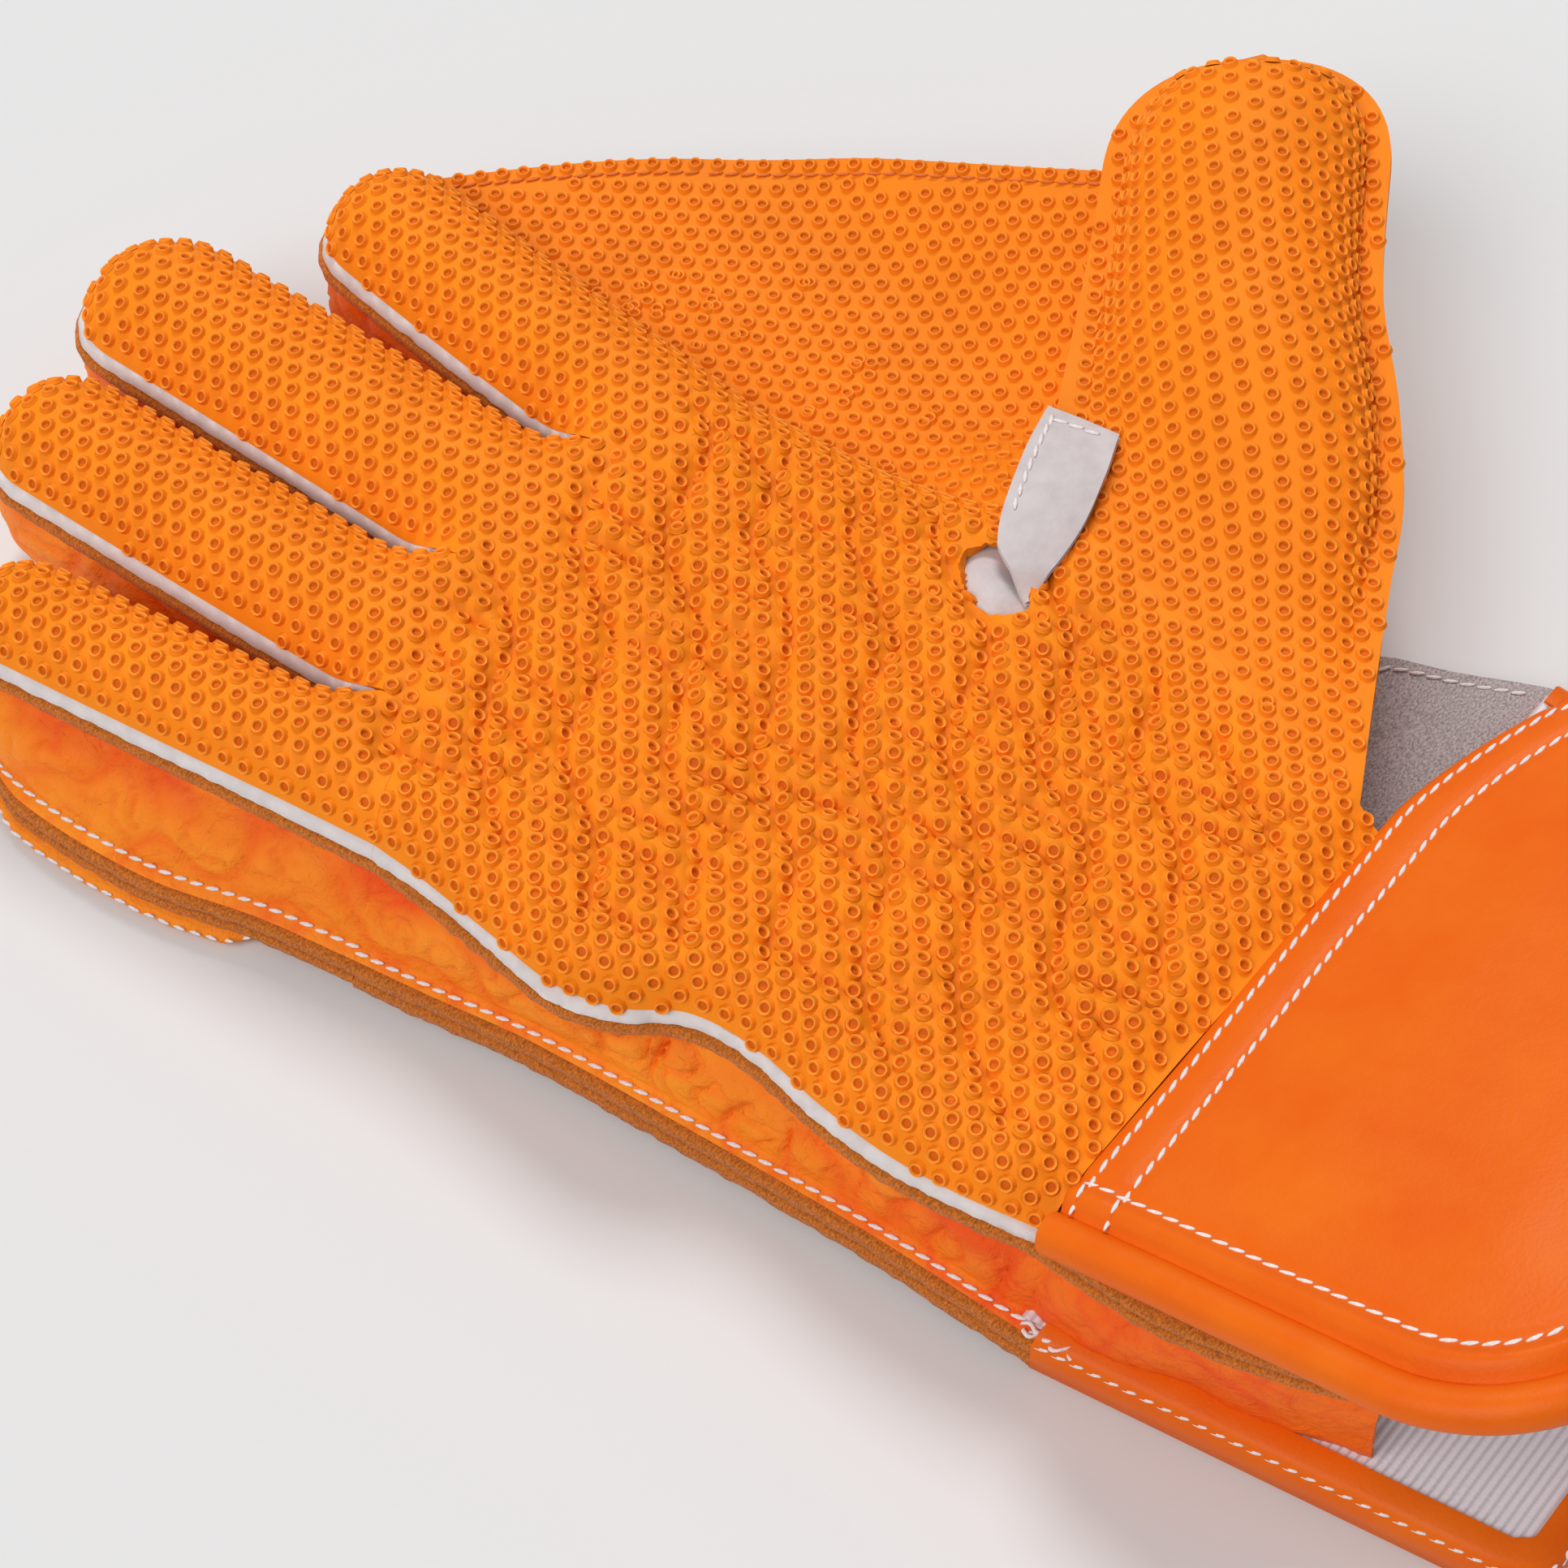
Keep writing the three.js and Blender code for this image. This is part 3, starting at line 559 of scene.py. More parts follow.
class Thumb(Stall):
    """The thumb, turned out from the fold line."""

    foot_shift = THUMB_FOOT - RUBBER_FOOT

    def __init__(self):
        super().__init__("thumb", "thumb", THUMB_HALF, THUMB_TIP_HALF, THUMB_LENGTH)

    def fold_point(self, x, y):
        """Plan point in the fold's frame."""
        return (
            THUMB_SHIFT[0] + x * math.cos(THUMB_TURN) + y * math.sin(THUMB_TURN),
            THUMB_SHIFT[1] + THUMB_ROOT - x * math.sin(THUMB_TURN) + y * math.cos(THUMB_TURN),
        )

    def from_fold(self, x, y):
        """The thumb's own place of a plan point in the fold's frame."""
        x -= THUMB_SHIFT[0]
        y -= THUMB_SHIFT[1] + THUMB_ROOT
        return (
            x * math.cos(THUMB_TURN) - y * math.sin(THUMB_TURN),
            x * math.sin(THUMB_TURN) + y * math.cos(THUMB_TURN),
        )

    def place(self, x, y, z):
        """Point in the object's frame."""
        x -= THUMB_TUCK * max(THUMB_FOOT - z, 0.0) * ease(-10.0, 20.0, x)
        return lift_from_fold(*self.fold_point(x, y), z)

    def unrolled(self, x, y):
        """Place on the rubber, as (across, along), of a point of the sheet before it was bent."""
        bent = crown_arc(THUMB_HALF - THUMB_FLANGE, THUMB_RISE, ROLL_TURN) + THUMB_FLANGE
        opened = self.opened(x, y)
        y = self.unrolled_along(y, THUMB_RISE)
        return x / (mix(self.half, bent, opened) * max(self.tip_round(y), TIP_LEAST)), y

    def opened(self, x, y):
        """0 at the palm, 1 where the thumb stands by itself."""
        return ease(*THUMB_OPEN, self.fold_point(x, y)[0])

    def side_half(self, side, y):
        """Half the width on one side: the outer side bulges at the root and draws in before the tip."""
        wave = thumb_wave(y) * self.tip_round(y) if side > 0 else 0.0
        return self.half_at(y) + wave

    def edge_x(self, side, y):
        """Edge of the rubber on one side."""
        return side * self.side_half(side, y)

    def edge_lift(self, side, y):
        """Height of the rubber's edge above the thumb's foot."""
        return (RUBBER_TOP - THUMB_FOOT) * (1.0 - self.opened(self.edge_x(side, y), y))

    def rim_base(self, side):
        """Where the thumb leaves the palm along one side."""
        return self.root(side)

    def root(self, across):
        """Place along the thumb where its surface meets the palm's."""
        return (-FOLD_SOFT - THUMB_SHIFT[0]) / math.sin(THUMB_TURN) - across * THUMB_HALF

    def top(self, across, y):
        """Rubber surface: a crowned tube inside a flat flange."""
        side = side_of(across)
        half = self.side_half(side, y)
        round_off = self.tip_round(y)
        tube = max(half - THUMB_FLANGE, 0.0)
        share = abs(across) / THUMB_TUBE_SHARE
        if share < 1.0:
            x = side * tube * math.sin(share * math.pi / 2.0)
            z = THUMB_RISE * round_off * math.cos(share * math.pi / 2.0)
        else:
            beyond = (abs(across) - THUMB_TUBE_SHARE) / (1.0 - THUMB_TUBE_SHARE)
            x = side * mix(tube, half, beyond)
            z = 0.0
        tip_flange = ease(self.length - THUMB_FLANGE * 0.4, self.length - THUMB_FLANGE * 1.6, y)
        opened = self.opened(across * half, y)
        flat_x = across * half
        flat_z = RUBBER_TOP - THUMB_FOOT
        height = THUMB_FOOT + mix(flat_z, z * tip_flange, opened)
        point = self.place(mix(flat_x, x, opened * tip_flange), y, height)
        swollen = THUMB_SWELL * opened * (1.0 - across ** 2) * ripple((point.x, point.y, 0.0), 24.0, 2.0)
        point.z += swollen - wrist_dip(point.x, point.y)
        return point

    def under(self, across, y):
        """Surface of the thumb's back."""
        angle = across * math.pi / 2.0
        x = self.side_half(across, y) * mix(across, math.sin(angle), 0.8)
        section = mix(1.0, math.cos(angle), self.opened(x, y))
        return self.place(x, y, ROLL_TOP * (1.0 - self.tip_round(y) * section))

    def bend(self):
        """Start and end of the stretch that bends at the fold."""
        return FOLD @ Vector((-THUMB_BEND, 0, 0)) * MM, FOLD @ Vector((THUMB_BEND, 0, 0)) * MM


FINGERS = [Finger(name, f"{name}_knuckle") for name in ("little", "ring", "middle", "index")]
LITTLE = FINGERS[0]
INDEX = FINGERS[-1]
THUMB = Thumb()


def share_borders():
    """Gives neighbouring fingers a common line behind their knuckles, and returns points across the roots."""
    roots = [LITTLE.place(-LITTLE.half, -ROOT_BACK, 0)]
    for left, right, row in zip(FINGERS, FINGERS[1:], SLIT_ROWS):
        line = []
        for y in (-ROOT_BACK, 0.0):
            line.append((left.place(left.half, y, 0) + right.place(-right.half, y, 0)) / 2.0)
        end = line[0].lerp(line[1], (row - line[0].y) / (line[1].y - line[0].y))
        for finger, side in ((left, 1), (right, -1)):
            finger.borders[side] = [finger.inverse @ point for point in line]
            finger.slits[side] = (finger.inverse @ end).y
        roots.append(line[0])
    roots.append(INDEX.place(INDEX.half, -ROOT_BACK, 0))
    return roots


ROOTS = share_borders()
knuckle_arc = through([(point.x, point.y) for point in ROOTS])

# Edges of the palm in plan, as x at each y
rubber_left = through([
    (WRIST_Y, -51.6), (-60.0, -54.8), (-46.7, -56.3), (-33.0, -55.8), (-18.4, -54.2), (-5.8, -55.8),
    (3.7, -62.2), (14.8, -65.4), (29.9, -64.6), (45.5, -63.6), (ROOTS[0].y, ROOTS[0].x)])
foot_left = through([
    (WRIST_Y, -54.5), (-45.0, -56.0), (-10.0, -59.5), (20.0, -63.0), (40.0, -67.0),
    (ROOTS[0].y, ROOTS[0].x - ROOT_FLARE)])
crotch = through([
    (0.0, 70.0), (8.0, 63.2), (14.0, 60.8), (26.0, 56.5), (40.0, 53.3),
    (ROOTS[-1].y, ROOTS[-1].x)])


def palm_right(y):
    """Right edge of the palm: the thumb's fold, then the crotch below the web."""
    start = FOLD @ Vector((-FOLD_SOFT, 0, 0))
    way = FOLD.to_3x3() @ Vector((0, 1, 0))
    return min(start.x + (y - start.y) * way.x / way.y, crotch(y))


def wrist_end(x):
    """Where the rubber ends at the wrist, at each x."""
    return WRIST_Y - WRIST_LAP - WRIST_SKEW * ease(*WRIST_SKEW_SPAN, x)


def wrist_dip(x, y):
    """How far the rubber sinks towards the cuff's seam."""
    return WRIST_DIP * ease(WRIST_DIP_SPAN, 0.0, y - wrist_end(x))


def channel(distance, half):
    """Depth of a sewn channel: 1 on its line, 0 at the middle of the pad beside it."""
    return 1.0 - math.sin(min(abs(distance) / half, 1.0) * math.pi / 2.0) ** 0.9


def shingle(share):
    """Depth over one pad between rungs: its near side is steep, and it falls slowly to the next rung."""
    if share < QUILT_STEEP:
        return 1.0 - math.sin(share / QUILT_STEEP * math.pi / 2.0)
    return ((share - QUILT_STEEP) / (1.0 - QUILT_STEEP)) ** 1.3


def quilt(x, y):
    """Depth of the palm's sewing as a share of the deepest, where 0 is none."""
    inside = (
        ease(*QUILT_SIDE_EDGE, x - rubber_left(y))
        * ease(*QUILT_SIDE_EDGE, palm_right(y) - x)
        * ease(*QUILT_WRIST_EDGE, y - WRIST_Y)
        * ease(*QUILT_KNUCKLE_EDGE, knuckle_arc(x) + QUILT_BEYOND - y)
    )
    if inside <= 0.0:
        return 0.0
    up = QUILT_UP.x * x + QUILT_UP.y * y
    side = QUILT_SIDE.x * x + QUILT_SIDE.y * y
    swing = abs((up / QUILT_PERIOD) % 1.0 - 0.5) * 4.0 - 1.0
    across = side + QUILT_SWING * swing + SPINE_WANDER * ripple((x, y, 0.0), 19.0)
    lane = math.floor(across / QUILT_LANE)
    in_lane = across - lane * QUILT_LANE
    spine = min(in_lane, QUILT_LANE - in_lane)
    slanted = up + QUILT_SLANT * in_lane + lane * QUILT_RUNG * QUILT_STAGGER
    slanted += RUNG_WANDER * ripple((x, y, 0.0), 14.0, 4.0)
    strength = mix(QUILT_WEAKEST, 1.0, ease(-0.35, 0.35, ripple((x, y, 0.0), 22.0, 8.0)))
    rung = strength * shingle((slanted / QUILT_RUNG) % 1.0)
    return max(channel(spine, QUILT_SPINE), rung) * inside


def back_seam(x):
    """Depth of the sewn lines on the glove's back: 1 on a line, less between lines."""
    return 1.0 - abs(math.sin(math.pi * x / BACK_LANE)) ** BACK_SEAM_SHARPNESS


class PalmSheet:
    """The palm's rubber, or its back where rise is negative, with rolled left and right edges."""

    def __init__(self, left, foot, rise, turn):
        self.left = left
        self.foot = foot
        self.rise = rise
        self.turn = turn
        self.roll_left = LITTLE.half
        self.roll_right = INDEX.half
        self.arc_left = crown_arc(self.roll_left, rise, turn)

    def fall(self, y):
        """How far the right edge rolls down: fully beside the web, not at all beside the thumb."""
        return ease(3.0, 24.0, y)

    def arc_right(self, y):
        """Length over the right edge's roll."""
        return mix(self.roll_right, crown_arc(self.roll_right, self.rise, self.turn), self.fall(y))

    def flat(self, y):
        """Width between the rolled edges."""
        return palm_right(y) - self.left(y) - self.roll_left - self.roll_right

    def width(self, y):
        """Width measured over the surface."""
        return self.arc_left + self.flat(y) + self.arc_right(y)

    def over(self, x, y):
        """Distance over the surface of a point of the sheet before it was bent."""
        return x - self.left(y) - self.roll_left + self.arc_left

    def point(self, over, y):
        """Point at a distance over the surface from the left edge."""
        flat = self.flat(y)
        drop = 0.0
        if over < self.arc_left:
            share = 1.0 - over / self.arc_left
            x = self.left(y) + self.roll_left * (1.0 - math.sin(share * self.turn) / math.sin(self.turn))
            drop = 1.0 - crown(share, self.turn)
        elif over > self.arc_left + flat:
            share = (over - self.arc_left - flat) / self.arc_right(y)
            bent = math.sin(share * self.turn) / math.sin(self.turn)
            x = palm_right(y) - self.roll_right * (1.0 - mix(share, bent, self.fall(y)))
            drop = (1.0 - crown(share, self.turn)) * self.fall(y)
        else:
            x = self.left(y) + self.roll_left + over - self.arc_left
        return Vector((x, y, self.foot + (self.rise + self.relief(x, y)) * (1.0 - drop)))

    def relief(self, x, y):
        """Height added by sewing and by the wrist seam."""
        return 0.0

    def spread(self, u, v):
        """Point of the sheet from the wrist at v = 0 to the finger roots at v = 1."""
        y = mix(WRIST_Y, ROOTS[2].y, v)
        for _ in range(4):
            x = self.point(u * self.width(y), y).x
            y = mix(wrist_end(x), knuckle_arc(x), v)
        return self.point(u * self.width(y), y)


class PalmRubber(PalmSheet):
    """The palm's quilted rubber."""

    def relief(self, x, y):
        return -wrist_dip(x, y) - sizes().quilt_depth / MM * quilt(x, y)


class PalmBack(PalmSheet):
    """The padded back of the hand, sewn in lines towards the fingers."""

    def relief(self, x, y):
        inside = ease(6.0, 14.0, x - self.left(y)) * ease(4.0, 14.0, palm_right(y) - x)
        seam = BACK_SEAM_DEPTH * back_seam(x - BACK_LANE_START)
        return seam * inside * ease(2.0, 16.0, knuckle_arc(x) - y)


PALM_RUBBER = PalmRubber(rubber_left, RUBBER_FOOT, RUBBER_RISE, CROWN_TURN)
PALM_BACK = PalmBack(foot_left, ROLL_TOP, -ROLL_TOP, ROLL_TURN)


# Mesh making


def grid(bm, columns, rows, place, material=0):
    """A sheet of faces placed by a function of two shares, with its doubles merged."""
    made = bmesh.ops.create_grid(bm, x_segments=columns, y_segments=rows, size=0.5)
    verts = made["verts"]
    for vert in verts:
        vert.co = place(vert.co.x + 0.5, vert.co.y + 0.5)
    bmesh.ops.remove_doubles(bm, verts=verts, dist=0.002)
    faces = list({face for vert in verts if vert.is_valid for face in vert.link_faces})
    for face in faces:
        face.material_index = material
        face.smooth = True
    return faces


def face_towards(bm, faces, outward):
    """Turns a sheet so that it faces one way on the whole."""
    bm.normal_update()
    total = sum((face.normal * face.calc_area() for face in faces), Vector())
    if total.dot(Vector(outward)) < 0.0:
        bmesh.ops.reverse_faces(bm, faces=faces)


def sheet(bm, columns, rows, place, outward, thick):
    """A sheet with thickness behind its outer face."""
    faces = grid(bm, columns, rows, place)
    face_towards(bm, faces, outward)
    bmesh.ops.solidify(bm, geom=faces, thickness=thick)


def band(bm, steps, profile, place, material=0):
    """A closed section swept along a path: place(share, out, height) gives its points."""
    corners = len(profile)

    def swept(u, v):
        out, height = profile[round(v * corners) % corners]
        return place(u, out, height)

    faces = grid(bm, steps, corners, swept, material)
    edges = list({edge for face in faces for edge in face.edges if edge.is_boundary})
    caps = bmesh.ops.holes_fill(bm, edges=edges, sides=0)["faces"]
    for face in caps:
        face.material_index = material
    bmesh.ops.recalc_face_normals(bm, faces=faces + caps)
    return faces


def slab(low, high, inner, outer, soft=0.45):
    """Section of a flat strip with its outer corners rounded, as (out, height)."""
    return [
        (inner, high), (outer - soft, high), (outer, high - soft),
        (outer, low + soft), (outer - soft, low), (inner, low)]


def round_section(centre_out, centre_height, radius, corners):
    """Round section, as (out, height)."""
    section = []
    for corner in range(corners):
        angle = 2.0 * math.pi * corner / corners
        section.append((centre_out + radius * math.cos(angle), centre_height + radius * math.sin(angle)))
    return section


def ring_stamp():
    """One raised ring of the rubber, open below, with its rim marked for a painted highlight and its hole for
    painted shade.
    """
    radius = sizes().ring_radius / MM
    height = sizes().ring_height / MM
    bm = bmesh.new()
    hollow = bm.verts.layers.float.new(LIGHT_AND_TONE_MARKS)
    verts = []
    for out, up, painted_light_mark in RING_PROFILE:
        vert = bm.verts.new((radius * out, 0.0, height * up))
        vert[hollow] = painted_light_mark
        verts.append(vert)
    edges = [bm.edges.new(pair) for pair in zip(verts, verts[1:])]
    bmesh.ops.spin(
        bm, geom=verts + edges, cent=(0, 0, 0), axis=(0, 0, 1),
        angle=2.0 * math.pi, steps=RING_SIDES, use_merge=True)
    bmesh.ops.remove_doubles(bm, verts=bm.verts[:], dist=0.001)
    inner = [edge for edge in bm.edges if all(vert.co.xy.length < radius * 0.5 for vert in edge.verts)]
    floor = bmesh.ops.contextual_create(bm, geom=inner)["faces"]
    bmesh.ops.recalc_face_normals(bm, faces=bm.faces[:])
    bm.normal_update()
    if floor[0].normal.z < 0.0:
        bmesh.ops.reverse_faces(bm, faces=bm.faces[:])
    for face in bm.faces:
        face.smooth = True
    stamp = bpy.data.meshes.new("ring_stamp")
    bm.to_mesh(stamp)
    bm.free()
    return stamp


def stitch_stamp():
    """One stitch along x, lying on z = 0."""
    bm = bmesh.new()
    bmesh.ops.create_uvsphere(bm, u_segments=6, v_segments=4, radius=0.5)
    for face in bm.faces:
        face.smooth = True
    bmesh.ops.rotate(bm, verts=bm.verts, matrix=Matrix.Rotation(math.pi / 2.0, 3, "Y"))
    stamp = bpy.data.meshes.new("stitch_stamp")
    bm.to_mesh(stamp)
    bm.free()
    return stamp


def stamp_all(bm, stamp, places, material=0):
    """Copies a small shape to every place given as a matrix."""
    for polygon in stamp.polygons:
        polygon.material_index = material
    for matrix in places:
        copy = stamp.copy()
        copy.transform(matrix)
        bm.from_mesh(copy)
        bpy.data.meshes.remove(copy)
    bpy.data.meshes.remove(stamp)


def standing(point, normal, way):
    """Matrix that stands a shape on a surface with its x along way."""
    side = normal.cross(way).normalized()
    matrix = Matrix((side.cross(normal), side, normal)).transposed().to_4x4()
    matrix.translation = point
    return matrix


def on_surface(surface, a, b, step_a, step_b, outward):
    """Matrix on a surface given by a function of two values."""
    along = surface(a + step_a, b) - surface(a - step_a, b)
    across = surface(a, b + step_b) - surface(a, b - step_b)
    normal = along.cross(across).normalized()
    if normal.dot(outward) < 0.0:
        normal = -normal
    return standing(surface(a, b), normal, along)


def stitches(bm, path, normal, material, lift=STITCH_LIFT):
    """A row of stitches along a list of points, standing out along normal."""
    pitch = sizes().stitch_length / MM
    width = sizes().stitch_width / MM
    places = []
    travelled = pitch * 0.5
    shape = Matrix.Diagonal((pitch, width, width * STITCH_FLATNESS, 1.0))
    for start, end in zip(path, path[1:]):
        way = end - start
        while travelled < way.length:
            spot = start + way * (travelled / way.length)
            turned = standing(spot + normal * lift, normal, way) @ Matrix.Rotation(STITCH_SLANT, 4, "Z")
            places.append(turned @ shape)
            travelled += pitch
        travelled -= way.length
    stamp_all(bm, stitch_stamp(), places, material)


def finish_piece(name, bm, materials, slot, body=None, across=None, replaced=(), fill=None):
    """Makes the object, in metres, and joins it to the frame."""
    bmesh.ops.scale(bm, vec=(MM, MM, MM), verts=bm.verts)
    mesh = bpy.data.meshes.new(name)
    bm.to_mesh(mesh)
    bm.free()
    for material in materials:
        mesh.materials.append(finish(material))
    mesh.set_sharp_from_angle(angle=SHARP_ANGLE)
    piece = bpy.data.objects.new(name, mesh)
    bpy.context.scene.collection.objects.link(piece)
    if across:
        parent, child, start, end = across
        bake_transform(piece, parent, child, start=start, end=end)
    else:
        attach(piece, body)
    if replaced:
        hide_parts(*replaced)
    return piece


# Materials


def new_nodes(name, colour, roughness):
    """A material with its shader and Object coordinates."""
    material = bpy.data.materials.new(name)
    material.use_nodes = True
    tree = material.node_tree
    shader = tree.nodes["Principled BSDF"]
    shader.inputs["Base Color"].default_value = (*colour, 1.0)
    shader.inputs["Roughness"].default_value = roughness
    coords = tree.nodes.new("ShaderNodeTexCoord")
    return material, tree, shader, coords.outputs["Object"]


def noise_of(tree, vector, scale, detail=3.0, roughness=0.55, distortion=0.0):
    """Noise texture output."""
    node = tree.nodes.new("ShaderNodeTexNoise")
    node.inputs["Scale"].default_value = scale
    node.inputs["Detail"].default_value = detail
    node.inputs["Roughness"].default_value = roughness
    node.inputs["Distortion"].default_value = distortion
    tree.links.new(vector, node.inputs["Vector"])
    return node.outputs["Fac"]


def cells_of(tree, vector, scale, feature="F1"):
    """Cell texture output: distance to the nearest point or edge."""
    node = tree.nodes.new("ShaderNodeTexVoronoi")
    node.feature = feature
    node.inputs["Scale"].default_value = scale
    tree.links.new(vector, node.inputs["Vector"])
    return node.outputs["Distance"]


def stretched(tree, vector, scale, turn=0.0):
    """Coordinates scaled, and turned about z, for a directional pattern."""
    node = tree.nodes.new("ShaderNodeMapping")
    node.inputs["Scale"].default_value = scale
    node.inputs["Rotation"].default_value = (0.0, 0.0, turn)
    tree.links.new(vector, node.inputs["Vector"])
    return node.outputs["Vector"]


def tint(tree, factor, dark, light, low=0.3, high=0.7):
    """Colour that varies between two shades."""
    node = tree.nodes.new("ShaderNodeValToRGB")
    node.color_ramp.elements[0].position = low
    node.color_ramp.elements[0].color = (*dark, 1.0)
    node.color_ramp.elements[1].position = high
    node.color_ramp.elements[1].color = (*light, 1.0)
    tree.links.new(factor, node.inputs["Fac"])
    return node.outputs["Color"]


def spread_range(tree, factor, low, high):
    """A factor mapped to another range, for roughness."""
    node = tree.nodes.new("ShaderNodeMapRange")
    node.inputs["To Min"].default_value = low
    node.inputs["To Max"].default_value = high
    tree.links.new(factor, node.inputs["Value"])
    return node.outputs["Result"]


def roughen(tree, shader, layers):
    """Bump from a list of (height, strength, distance in metres)."""
    normal = None
    for height, strength, distance in layers:
        node = tree.nodes.new("ShaderNodeBump")
        node.inputs["Strength"].default_value = strength
        node.inputs["Distance"].default_value = distance
        tree.links.new(height, node.inputs["Height"])
        if normal is not None:
            tree.links.new(normal, node.inputs["Normal"])
        normal = node.outputs["Normal"]
    tree.links.new(normal, shader.inputs["Normal"])


def shade(colour, share):
    """A darker or lighter version of a colour."""
    return tuple(min(part * share, 1.0) for part in colour)


def tinted_for_wear_and_light(colour, shares):
    """A colour with its red, green and blue each changed by its own share."""
    return tuple(part * share for part, share in zip(colour, shares))


def marks_of(tree):
    """Output with the marks on a piece's vertices."""
    node = tree.nodes.new("ShaderNodeAttribute")
    node.attribute_name = LIGHT_AND_TONE_MARKS
    return node.outputs["Fac"]


# Places of the colours among the sockets of a mix node
MIX_FIRST = 6
MIX_SECOND = 7
MIX_RESULT = 2

# Shares of red, green and blue on a ring's rim painted paler as highlight, in a sewn channel and in a ring's
# hole painted darker as shade, and on worn rubber
RIM_HIGHLIGHT_TINT = (1.0, 1.38, 6.0)
GROOVE_SHADE_TINT = (0.8, 0.64, 0.7)
HOLE_SHADE_TINT = (0.68, 0.46, 0.6)
RUBBER_WEAR = (0.9, 0.88, 0.85)
NO_WEAR = (1.0, 1.0, 1.0)

# Shares of red, green and blue on worn leather, and of the red painted as shade in the leather's wrinkles and
# below a wall's top, which also tints the gusset
LEATHER_WEAR = (0.95, 0.74, 0.6)
RED_TONE_AND_SHADE_TINT = (0.88, 0.3, 0.4)


def make_rubber(name, base):
    """Matt moulded rubber, painted paler on the rims of its rings as highlight and darker in their holes as
    shade.
    """
    material, tree, shader, coords = new_nodes(name, base, 0.55)
    # Painted highlight on the rings' rims and painted shade in their holes and in the sewn channels, read
    # from the vertex marks
    tone = tint(tree, marks_of(tree), tinted_for_wear_and_light(base, RIM_HIGHLIGHT_TINT), tinted_for_wear_and_light(base, HOLE_SHADE_TINT), 0.0, 1.0)
    for mark, colour in ((PLAIN, base), (GROOVE, tinted_for_wear_and_light(base, GROOVE_SHADE_TINT))):
        tone.node.color_ramp.elements.new(mark).color = (*colour, 1.0)
    patches = tree.nodes.new("ShaderNodeMix")
    patches.data_type = "RGBA"
    patches.blend_type = "MULTIPLY"
    patches.inputs["Factor"].default_value = 1.0
    worn = tint(tree, noise_of(tree, coords, 60.0), RUBBER_WEAR, NO_WEAR)
    tree.links.new(tone, patches.inputs[MIX_FIRST])
    tree.links.new(worn, patches.inputs[MIX_SECOND])
    tree.links.new(patches.outputs[MIX_RESULT], shader.inputs["Base Color"])
    tree.links.new(spread_range(tree, noise_of(tree, coords, 400.0), 0.46, 0.62), shader.inputs["Roughness"])
    shader.inputs["Specular IOR Level"].default_value = 0.09
    roughen(tree, shader, [(noise_of(tree, coords, 2600.0), 0.25, 0.0002)])
    return material


def make_leather(name, base, roughness, wrinkle, grain):
    """Dyed leather with fine grain and soft wrinkles, and painted shade in red where its vertices are marked.
    """
    material, tree, shader, coords = new_nodes(name, base, roughness)
    worn = tint(tree, noise_of(tree, coords, 45.0, 4.0), tinted_for_wear_and_light(base, LEATHER_WEAR), base)
    # Painted shade: marked vertices turn red and darker in wrinkles and below a wall's top, and the gusset is
    # tinted redder
    red = tree.nodes.new("ShaderNodeMix")
    red.data_type = "RGBA"
    red.inputs[MIX_SECOND].default_value = (*tinted_for_wear_and_light(base, RED_TONE_AND_SHADE_TINT), 1.0)
    tree.links.new(marks_of(tree), red.inputs["Factor"])
    tree.links.new(worn, red.inputs[MIX_FIRST])
    tree.links.new(red.outputs[MIX_RESULT], shader.inputs["Base Color"])
    tree.links.new(
        spread_range(tree, noise_of(tree, coords, 180.0), roughness - 0.08, roughness + 0.08),
        shader.inputs["Roughness"])
    shader.inputs["Specular IOR Level"].default_value = 0.13
    cracked = cells_of(tree, stretched(tree, coords, (1.0, 1.0, 1.7)), 160.0, "SMOOTH_F1")
    roughen(tree, shader, [
        (noise_of(tree, coords, 70.0, 5.0, 0.65, 1.4), wrinkle, 0.0016),
        (noise_of(tree, coords, 190.0, 4.0, 0.6, 2.0), wrinkle, 0.0012),
        (noise_of(tree, coords, 520.0, 3.0, 0.6, 1.0), wrinkle, 0.0004),
        (cracked, wrinkle * 0.6, 0.0006),
        (cells_of(tree, coords, 1500.0), grain, 0.00012)])
    return material


def make_chrome_leather(name, base):
    """Chrome leather with a soft nap."""
    material, tree, shader, coords = new_nodes(name, base, 0.8)
    tree.links.new(tint(tree, noise_of(tree, coords, 240.0, 5.0), shade(base, 0.84), base),
                   shader.inputs["Base Color"])
    shader.inputs["Sheen Weight"].default_value = 0.2
    roughen(tree, shader, [
        (noise_of(tree, coords, 420.0, 4.0), 0.35, 0.0005),
        (noise_of(tree, coords, 3000.0, 2.0), 0.4, 0.0001)])
    return material


def make_suede(name, base):
    """Raw flesh side of leather, with a fuzzy fibre."""
    material, tree, shader, coords = new_nodes(name, base, 0.95)
    fibres = noise_of(tree, stretched(tree, coords, (1.0, 1.8, 1.0), 0.5), 1500.0, 5.0, 0.7)
    tree.links.new(tint(tree, fibres, shade(base, 0.45), shade(base, 1.15), 0.36, 0.62),
                   shader.inputs["Base Color"])
    shader.inputs["Sheen Weight"].default_value = 0.08
    shader.inputs["Sheen Roughness"].default_value = 0.5
    roughen(tree, shader, [
        (noise_of(tree, coords, 500.0, 4.0, 0.7), 0.6, 0.0006),
        (fibres, 0.8, 0.00025)])
    return material


# Angle that the wave texture turns through over one unit at a scale of 1
WAVE_TURN = 20.0


